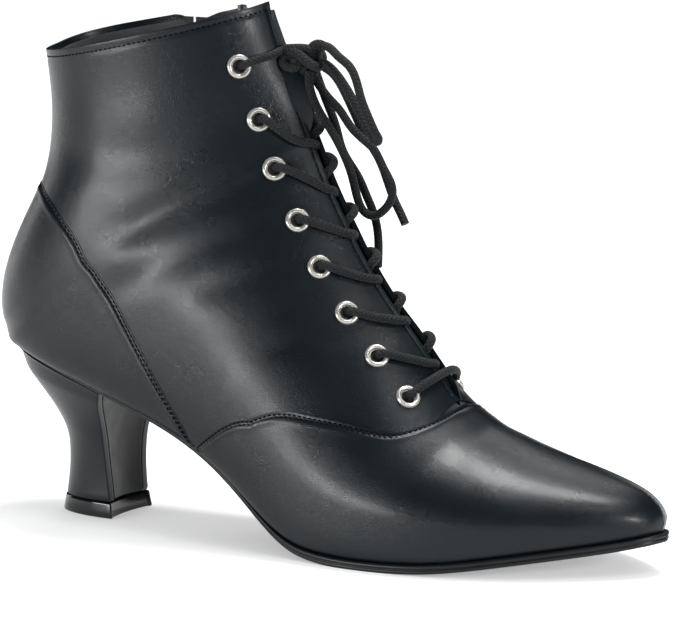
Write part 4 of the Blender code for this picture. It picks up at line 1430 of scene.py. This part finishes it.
@dataclass
class Zip:
    """The inner-side zip: tapes, teeth, slider and hanging pull tab.

    Attributes:
        form: The boot's form.
        finishes: The materials.
        slot: Width of the opening in the leather.
        line: Places of the zip, seen from the side, as (x, z).
        stop: Height of the bottom stop.
        sunk: Depth of the zip's own surface below the outer form.
        pitch: Distance from one tooth to the next.
    """

    form: BootForm
    finishes: Finishes
    slot: float = 4.2
    line: tuple = ((57.0, 176.0), (58.5, 120.0), (60.5, 80.0))
    stop: float = 76.0
    sunk: float = 0.6
    pitch: float = 1.25

    def locate(self, x: float, z: float) -> np.ndarray:
        """Section number and share on the inner side for a place seen from the side."""
        guess = np.array((22.0, 0.5))
        for _ in range(30):
            here = self.form.surface(guess[0], guess[1], self.sunk)[[0, 2]]
            step = 1e-3
            moves = np.eye(2) * step
            slopes = [(self.form.surface(*(guess + d), self.sunk)[[0, 2]] - here) / step for d in moves]
            guess = guess + np.linalg.solve(np.array(slopes).T, np.array((x, z)) - here) * 0.7
            guess = np.clip(guess, (8.0, 0.2), (27.5, 0.9))
        return guess

    def stations(self, z_from: float, z_to: float, count: int) -> list[tuple[np.ndarray, np.ndarray]]:
        """Points down the zip with the outward direction at each."""
        fronts, heights = np.array(self.line[::-1]).T
        found = []
        for z in np.linspace(z_from, z_to, count):
            level = min(float(z), 173.0)
            t, v = self.locate(float(np.interp(z, heights, fronts)), level)
            out = self.form.normal(np.float64(min(t, 25.9)), np.float64(v), self.sunk)
            point = self.form.surface(t, v, self.sunk) + np.array((0, 0, z - level))
            out[0] = 0.0
            found.append((point, out / np.linalg.norm(out)))
        return found

    def bar(self, span: tuple, width: float, depths: tuple, shift: float = 0.0) -> bmesh.types.BMesh:
        """A strip that follows the zip.

        Args:
            span: Its upper and lower end and its number of rings.
            width: Its width along the boot.
            depths: Its inner and outer face, as heights over the zip's surface.
            shift: How far it stands toward the toe.

        Returns:
            The closed strip.
        """
        corners = ((-1, depths[0]), (1, depths[0]), (1, depths[1]), (-1, depths[1]))
        rings = [
            [point + (shift + side * width / 2, 0.0, 0.0) + out * depth for side, depth in corners]
            for point, out in self.stations(*span)
        ]
        return lofted(np.array(rings))

    def opening(self) -> bmesh.types.BMesh:
        """The closed shape that opens the leather."""
        return self.bar((190.0, self.stop, 24), self.slot, (-7.0, 7.0))

    def teeth(self) -> bpy.types.Object:
        """The chain of interlocked teeth, in two offset rows."""
        work = bmesh.new()
        top, bottom = 171.5, self.stop + 1.0
        stations = self.stations(top, bottom, int((top - bottom) / self.pitch))
        for number, (point, out) in enumerate(stations):
            side = 1 if number % 2 else -1
            centre = placed(point - out * 0.75 + np.array((side * 0.55, 0, 0)))
            turn = Vector(out).to_track_quat("Y", "Z").to_matrix().to_4x4()
            size = Matrix.Diagonal((2.2 * MM, 1.3 * MM, 0.95 * MM, 1.0))
            made = bmesh.ops.create_cube(work, size=1.0, matrix=Matrix.Translation(centre) @ turn @ size)
            edges = {edge for vert in made["verts"] for edge in vert.link_edges}
            bmesh.ops.bevel(
                work, geom=list(edges), offset=0.2 * MM, segments=1, profile=0.5, affect="EDGES", material=-1,
            )
        return finished("zip_teeth", work, self.finishes.dark_nickel, 40.0)

    def tapes(self) -> bpy.types.Object:
        """The woven tapes on both sides of the teeth."""
        works = [self.bar((175.0, self.stop - 1.0, 40), 5.0, (-1.75, -1.15), side * 3.1) for side in (-1, 1)]
        return finished("zip_tapes", merged(works), self.finishes.tape, 30.0)

    def build(self) -> None:
        """Builds the zip and gives the slider and the tab their metal."""
        worn(self.teeth(), ["zip_chain"])
        worn(self.tapes())
        for name in ("zip_slider", "zip_pull_tab"):
            node = bpy.data.objects[name]
            for slot in node.material_slots:
                slot.material = self.finishes.dark_nickel


@dataclass
class Lacing:
    """The lace through the eyelets, with its knot, loops and ends.

    Attributes:
        upper: The upper whose eyelets it runs through.
        finish: The braided cord.
        radius: Radius of the cord.
        knot: Centre of the knot.
        loop_upper: Places of the short loop, from the knot to its folded tip and back.
        loop_lower: Places of the long loop.
        end_front: Places of the lace end nearer the toe.
        end_side: Places of the other lace end.
        knot_core: Shift and half sizes of each lump that fills the knot.
        knot_turns: Places of each strand wound round the knot.
    """

    upper: Upper
    finish: bpy.types.Material
    radius: float = 1.5
    knot: tuple[float, float, float] = (122.6, 0.0, 167.0)
    loop_upper: tuple = (
        (126.4, -0.5, 170.2), (128.0, -0.9, 171.3), (131.6, -2.7, 170.6), (135.6, -4.0, 168.1),
        (140.5, -5.5, 165.3), (143.8, -6.5, 160.4), (146.2, -7.5, 154.7), (149.0, -8.0, 149.3),
        (151.8, -8.0, 143.9), (152.6, -7.0, 141.6), (150.9, -5.5, 140.4), (147.6, -4.3, 143.5),
        (144.3, -3.8, 148.4), (140.2, -3.2, 154.3), (135.6, -2.4, 159.9), (131.0, -2.0, 164.2),
        (127.1, -1.2, 165.7),
    )
    loop_lower: tuple = (
        (122.3, 1.6, 162.1), (122.5, 2.4, 159.2), (126.5, 4.0, 153.2), (130.1, 6.0, 148.6),
        (133.3, 8.0, 142.9), (137.3, 10.0, 138.4), (140.5, 12.0, 134.6), (143.1, 13.0, 129.1),
        (146.0, 13.5, 123.7), (146.4, 13.5, 119.0), (144.1, 13.0, 114.7), (140.3, 12.0, 112.1),
        (136.9, 11.0, 113.3), (135.2, 10.0, 116.9), (134.4, 9.0, 121.3), (133.4, 8.0, 126.8),
        (131.9, 6.0, 133.0), (129.4, 3.0, 140.4), (126.6, 0.0, 146.9), (124.2, -1.6, 152.6),
        (122.8, -2.4, 158.3), (122.8, -2.1, 162.5),
    )
    end_front: tuple = (
        (125.7, 2.2, 163.8), (128.6, 3.4, 161.6), (130.6, 5.2, 158.0), (131.2, 8.4, 153.6),
        (132.0, 12.0, 147.9), (133.4, 15.6, 141.0), (135.6, 18.2, 135.3), (138.2, 19.6, 130.1),
        (141.1, 19.5, 123.7), (144.1, 19.0, 117.3), (146.8, 18.5, 113.0), (149.2, 18.0, 109.0),
    )
    knot_core: tuple = (
        ((-0.6, 0.3, 0.2), (4.0, 3.8, 4.2)), ((-5.0, -1.0, -1.2), (3.4, 3.4, 3.4)),
        ((-2.6, -0.2, -3.2), (3.0, 2.6, 3.0)),
    )
    knot_turns: tuple = (
        ((115.2, -2.6, 168.4), (116.4, -3.6, 169.4), (119.4, -4.3, 168.6), (122.4, -4.7, 166.7),
         (125.2, -4.3, 165.0), (126.6, -2.6, 164.2), (125.6, -0.6, 164.4)),
        ((118.4, -1.2, 168.2), (115.2, -2.8, 167.9), (113.4, -3.7, 166.2), (114.2, -4.1, 164.4),
         (116.6, -4.0, 163.6), (118.8, -3.4, 164.2), (120.2, -2.0, 166.0)),
        ((114.0, -3.2, 169.8), (117.2, -3.3, 170.1), (120.4, -2.6, 170.2), (123.0, -1.4, 169.6),
         (124.6, 0.6, 168.0)),
        ((121.2, -0.2, 167.2), (122.2, -0.6, 169.4), (123.6, -0.9, 171.0), (125.4, -0.8, 171.8),
         (127.2, -0.8, 171.4)),
        ((121.0, 2.6, 170.2), (123.6, 3.4, 168.6), (124.8, 3.2, 166.0), (123.4, 2.6, 163.6),
         (120.8, 2.0, 163.0)),
    )
    end_side: tuple = (
        (120.6, 4.6, 164.2), (119.7, 6.7, 162.6), (121.4, 8.6, 155.4), (123.6, 10.4, 148.0),
        (125.0, 12.4, 141.5), (126.4, 13.4, 135.0), (128.2, 15.5, 129.6), (130.6, 18.2, 123.9),
        (133.0, 19.8, 117.2), (135.0, 21.2, 111.0), (136.0, 22.3, 103.7), (136.0, 22.6, 96.7),
        (135.4, 23.4, 92.5),
    )

    def over(self, t: float, v: float, height: float) -> np.ndarray:
        """A place above the quarters, level from one side to the other."""
        form, step = self.upper.form, self.upper.step
        spot = np.float64(t), np.float64(min(v, -0.03) if v <= 0 else v)
        point = form.surface(np.float64(t), np.float64(v), step) + form.normal(*spot, step) * height
        if v <= 0:
            return point
        mirror = self.over(t, -v, height)
        mirror[1] = point[1]
        return mirror + (point - mirror) * float(smooth(np.float64(v / 0.13)))

    def crossing(self, number: int, side: Side) -> list[np.ndarray]:
        """One run from an eyelet over its facing, under the other, to the next eyelet.

        Args:
            number: The eyelet that it leaves.
            side: The side of that eyelet.

        Returns:
            Its places, the hole of the next eyelet left out.
        """
        (t0, a), (t1, b) = self.upper.eyelets[number], self.upper.eyelets[number + 1]
        sign = side.value
        pull = 1.35 if number == 1 and side is Side.OUTER else 1.0
        if side is Side.OUTER:
            keys = (
                (0.0, 0.98 * a, -0.6), (0.05, 0.94 * a, 0.7), (0.14, 0.9 * a, 1.6), (0.38, 0.77 * a, 1.7),
                (0.64, 0.59 * a, 1.6), (0.83, 0.41 * a, 1.5), (0.9, 0.25 * a, 0.9), (0.94, 0.06 * a, -1.2),
                (0.95, -0.12 * b, -2.7), (0.96, -0.4 * b, -3.4), (0.98, -0.72 * b, -3.5),
                (1.0, -0.93 * b, -3.0),
            )
        else:
            keys = (
                (0.0, 0.97 * a, -0.6), (0.05, 0.88 * a, 0.9), (0.15, 0.72 * a, 1.8), (0.3, 0.5 * a, 2.2),
                (0.42, 0.32 * a, 2.5), (0.52, 0.18 * a, 1.7), (0.6, 0.06 * a, -0.9), (0.66, -0.1 * b, -2.7),
                (0.76, -0.35 * b, -3.4), (0.9, -0.7 * b, -3.5), (1.0, -0.93 * b, -3.0),
            )
        return [
            self.over(t0 + (t1 - t0) * gone ** (pull if gone < 0.95 else 1.0), sign * v, height)
            for gone, v, height in keys
        ]

    def lower_bar(self) -> list[np.ndarray]:
        """The straight run between the two lowest eyelets, inner to outer."""
        t, a = self.upper.eyelets[-1]
        shares = (0.97, 0.8, 0.64, 0.4, 0.15, -0.15, -0.4, -0.64, -0.8, -0.97)
        heights = (-0.4, 1.35, 2.3, 2.5, 2.0, 1.5, 1.6, 1.75, 1.35, -0.4)
        return [self.over(t - 0.24 * (1 - s**2), s * a, h) for s, h in zip(shares, heights)]

    def hidden_run(self, side: Side) -> list[np.ndarray]:
        """The run under both facings from a top eyelet to the second one across."""
        (t0, a), (t1, b) = self.upper.eyelets[0], self.upper.eyelets[1]
        keys = (
            (0.0, 0.97 * a, -0.4), (0.05, 0.9 * a, -2.6), (0.3, 0.5 * a, -3.4), (0.5, 0.0, -3.4),
            (0.8, -0.6 * b, -3.4), (0.95, -0.93 * b, -2.9),
        )
        return [self.over(t0 + (t1 - t0) * gone, side.value * v, height) for gone, v, height in keys]

    def to_knot(self, side: Side) -> list[np.ndarray]:
        """The last run, from the knot to a top eyelet."""
        t, a = self.upper.eyelets[0]
        start = np.array(self.knot) + (-1.5, 2.2 * side.value, 0.6)
        keys = ((0.2, 2.2), (0.42, 2.1), (0.64, 2.0), (0.8, 1.4))
        return [start] + [self.over(t, side.value * s * a, h) for s, h in keys]

    def route(self) -> np.ndarray:
        """The whole lace between the two sides of the knot."""
        halves = []
        for start in (Side.OUTER, Side.INNER):
            side = start
            places = self.to_knot(start) + self.hidden_run(start)
            for number in range(1, len(self.upper.eyelets) - 1):
                side = side.across
                places += self.crossing(number, side)
            halves.append(places)
        return flowing(np.array(halves[0] + self.lower_bar() + halves[1][::-1]), 0.6)

    def knot_piece(self) -> bpy.types.Object:
        """The knot: strands wound over a packed core, and the start of the upper loop."""
        core = np.array(self.knot)
        works = [tube(flowing(turn, 0.5), 1.1 * self.radius, 12) for turn in self.knot_turns]
        for shift, size in self.knot_core:
            frame = Matrix.Translation(placed(core + shift)) @ Matrix.Diagonal((*(Vector(size) * MM), 1.0))
            packed = bmesh.new()
            bmesh.ops.create_uvsphere(packed, u_segments=24, v_segments=14, radius=1.0, matrix=frame)
            works.append(packed)
        work = merged(works)
        bmesh.ops.recalc_face_normals(work, faces=work.faces)
        return finished("bow_knot", work, self.finish, 60.0)

    def build(self) -> None:
        """Builds the lace, the knot and the four free cords of the bow."""
        whole = finished("lace_through_eyelets", tube(self.route(), self.radius, 12), self.finish, 60.0)
        worn(whole, ["lace_crossings"])
        knot = worn(self.knot_piece(), ["lace_knot"])
        cords = (
            ("bow_loop_upper", "lace_loop_upper", self.loop_upper, "object"),
            ("bow_loop_lower", "lace_loop_lower", self.loop_lower, "object"),
            ("bow_end_front", "lace_end_front", self.end_front, "bare"),
            ("bow_end_side", "lace_end_side", self.end_side, "bare"),
        )
        for name, node, points, far_end in cords:
            path = flowing(points, 0.8)
            piece = finished(name, tube(path, self.radius, 12), self.finish, 60.0)
            worn(piece, [node])


@dataclass
class Studio:
    """The pale floor, soft lights and camera.

    Attributes:
        azimuth: Camera azimuth in degrees, from the outer side toward the toe.
        elevation: Camera elevation in degrees.
        distance: Distance to the target in metres.
        lens: Focal length in millimetres.
        target: The point that the angles and the distance refer to, in metres.
        shift: How far the aim stands right of the target and below it, in metres.
    """

    azimuth: float = 30.0
    elevation: float = 9.2
    distance: float = 1.5
    lens: float = 230.69
    target: Vector = field(default_factory=lambda: Vector((0.0009, 0.00034, 0.090)))
    shift: tuple[float, float] = (0.00482, 0.00981)

    def axes(self) -> tuple[Vector, Vector, Vector]:
        """The camera's backward, right and up directions."""
        a, e = math.radians(self.azimuth), math.radians(self.elevation)
        back = Vector((math.sin(a) * math.cos(e), -math.cos(a) * math.cos(e), math.sin(e)))
        right = Vector((math.cos(a), math.sin(a), 0.0))
        return back, right, back.cross(right)

    def camera(self) -> None:
        """Sets up the camera at the photograph's angle."""
        back, right, up = self.axes()
        aim = self.target + right * self.shift[0] - up * self.shift[1]
        data = bpy.data.cameras.new("camera")
        data.lens, data.sensor_width, data.sensor_fit = self.lens, 36.0, "HORIZONTAL"
        data.clip_end = 50.0
        bpy.context.scene.camera = aimed("camera", data, self.target + back * self.distance, aim)

    def floor(self) -> None:
        """Lays a large pale floor."""
        work = bmesh.new()
        bmesh.ops.create_grid(work, x_segments=8, y_segments=8, size=15.0)
        made = Shader("pale_floor", (0.56, 0.56, 0.56), 0.7)
        made.value("Emission Color", (1.0, 1.0, 1.0, 1.0))
        made.value("Emission Strength", 0.36)
        made.hazed(3.0, 2.0, (0.62, 0.78))
        made.value("Specular IOR Level", 0.2)
        data = bpy.data.meshes.new("floor")
        work.to_mesh(data)
        work.free()
        data.materials.append(made.material)
        linked("floor", data)

    def light(self, name: str, place: tuple, size: tuple[float, float], power: float) -> None:
        """Adds a rectangular soft light that faces the boot.

        Args:
            name: The light's name.
            place: Where it hangs, in metres.
            size: Width and height, in metres.
            power: Watts.
        """
        data = bpy.data.lights.new(name, "AREA")
        data.shape, data.size, data.size_y, data.energy = "RECTANGLE", size[0], size[1], power
        aimed(name, data, Vector(place), Vector((0, 0, 0.08)))

    def lights(self) -> None:
        """Hangs the soft lights and sets the grey surroundings."""
        self.light("overhead", (0.12, 0.42, 2.0), (0.8, 0.6), 56.0)
        self.light("behind", (-0.34, 1.18, 1.1), (0.7, 0.5), 3.5)
        self.light("left_box", (-0.80, -1.37, 0.11), (0.95, 0.22), 24.0)
        self.light("back_left", (-1.5, 0.35, 0.3), (0.5, 0.6), 1.9)
        self.light("toe_side", (1.5, -0.3, 0.5), (0.26, 0.26), 18.0)
        self.light("front_box", (1.0, -0.34, 1.5), (0.7, 0.5), 6.0)
        world = bpy.data.worlds.new("surroundings")
        world.use_nodes = True
        sky = world.node_tree.nodes["Background"].inputs
        sky["Color"].default_value, sky["Strength"].default_value = (0.97, 0.98, 1.0, 1.0), 0.84
        world.cycles_visibility.glossy = False
        bpy.context.scene.world = world
        bpy.context.scene.view_settings.view_transform = "Standard"

    def build(self) -> None:
        """Builds the studio."""
        self.camera()
        self.floor()
        self.lights()


def boot_form() -> BootForm:
    """The boot's form, with the wear creases of its leather."""
    sections = SplineTable((
        (255.0, 17.4, 254.4, 14.6, 6.0, 6.0, 6.0, 6.0, 0.35, 1.0, 1.0, 0, 0),
        (253.6, 21.2, 251.8, 14.2, -0.5, 12.0, -1.5, 13.0, 0.35, 1.0, 1.0, 0, 0),
        (249.3, 25.8, 245.6, 13.0, -6.5, 17.0, -8.0, 18.5, 0.35, 1.0, 1.0, 0, 0),
        (239.5, 29.8, 236.0, 11.5, -14.0, 24.0, -16.0, 25.8, 0.34, 1.05, 1.0, 0, 0),
        (222.0, 34.6, 220.0, 9.1, -24.0, 32.0, -26.5, 34.0, 0.33, 1.1, 1.0, 0, 0),
        (202.0, 40.8, 203.0, 6.4, -32.0, 37.0, -34.5, 39.0, 0.32, 1.2, 1.0, 0, 0),
        (184.5, 49.3, 186.0, 4.2, -37.0, 39.0, -39.5, 41.0, 0.30, 1.35, 1.0, 0, 0),
        (177.6, 57.2, 168.0, 3.4, -39.0, 38.0, -41.5, 40.3, 0.28, 1.5, 1.0, 0, 0),
        (170.9, 66.3, 151.0, 3.6, -38.5, 34.5, -41.5, 37.5, 0.27, 1.55, 1.0, 0, 0),
        (163.3, 76.2, 136.0, 5.6, -36.0, 29.5, -40.0, 34.0, 0.28, 1.55, 1.0, 0, 0),
        (156.2, 84.4, 123.0, 11.3, -32.5, 25.0, -38.0, 31.5, 0.29, 1.55, 1.0, 0, 0),
        (149.9, 92.8, 110.0, 20.0, -29.0, 21.0, -36.5, 30.0, 0.31, 1.5, 1.0, 0, 0),
        (144.0, 101.7, 96.0, 29.5, -27.0, 18.5, -35.5, 30.0, 0.34, 1.5, 1.0, 0, 0),
        (138.7, 110.6, 80.0, 37.8, -25.8, 18.5, -34.5, 30.5, 0.37, 1.45, 1.0, 0, 0),
        (134.4, 118.3, 63.0, 44.5, -25.8, 21.0, -34.0, 31.5, 0.40, 1.4, 1.0, 0, 0),
        (130.8, 125.3, 45.0, 50.8, -25.8, 24.0, -33.5, 32.3, 0.42, 1.4, 1.0, 0, 0),
        (128.0, 131.4, 28.0, 56.0, -24.2, 23.7, -33.2, 32.6, 0.43, 1.35, 1.0, 0, 0),
        (126.1, 136.0, 14.0, 60.0, -19.0, 19.0, -33.0, 32.6, 0.43, 1.35, 1.0, 0, 0),
        (124.6, 139.2, 6.6, 61.6, -12.0, 12.0, -32.8, 32.4, 0.43, 1.3, 0.95, 0, 0),
        (123.2, 142.2, 0.6, 64.8, 0.0, 0.0, -32.6, 32.2, 0.43, 1.3, 0.85, 0, 0),
        (120.8, 147.6, -2.0, 75.0, 0.0, 0.0, -32.2, 32.0, 0.44, 1.3, 0.95, 0, 0),
        (118.3, 153.6, 0.2, 87.0, 0.0, 0.0, -31.6, 31.4, 0.45, 1.25, 1.0, 0, 0),
        (115.8, 160.0, 6.5, 101.0, 0.0, 0.0, -31.0, 30.8, 0.46, 1.2, 1.0, 0, 0),
        (113.3, 166.0, 15.0, 117.0, 0.0, 0.0, -30.5, 30.3, 0.46, 1.15, 1.0, 0, 0),
        (111.3, 172.0, 19.0, 132.0, 0.0, 0.0, -30.5, 30.3, 0.46, 1.15, 1.0, -0.5, 0.4),
        (109.3, 178.0, 19.8, 148.0, 0.0, 0.0, -31.0, 30.8, 0.46, 1.15, 1.0, -1.8, 1.3),
        (107.0, 186.0, 18.0, 166.5, 0.0, 0.0, -32.0, 32.0, 0.46, 1.15, 1.0, -3.6, 2.6),
    ))
    creases = (
        Crease((62.0, 104.0), (118.0, 128.0), 0.6, 7.0),
        Crease((58.0, 84.0), (112.0, 112.0), 0.5, 6.0),
        Crease((96.0, 88.0), (140.0, 100.0), 0.4, 4.5),
        Crease((120.0, 70.0), (156.0, 78.0), 0.35, 4.0),
        Crease((176.0, 30.0), (196.0, 48.0), 0.3, 4.0),
        Crease((34.0, 128.0), (88.0, 136.0), 0.35, 8.0),
    )
    return BootForm(sections, seat_end=19.0, collar_set_back=14.0, collar_drop=2.5, creases=creases)


def main() -> None:
    """Builds every part of the boot, then the studio round it."""
    logging.basicConfig(level=logging.INFO, format="%(relativeCreated)7.0f %(message)s")
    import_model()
    form, finishes = boot_form(), Finishes()
    Studio().build()
    zipper = Zip(form, finishes)
    upper = Upper(form, finishes)
    Lacing(upper, finishes.cord).build()
    upper.build(zipper.opening)
    Eyelets(upper, finishes.nickel).build()
    sole = Sole(form, finishes)
    sole.build()
    Heel(sole, finishes).build()
    Tongue(form, finishes.leather).build()
    zipper.build()


if __name__ == "__main__":
    main()
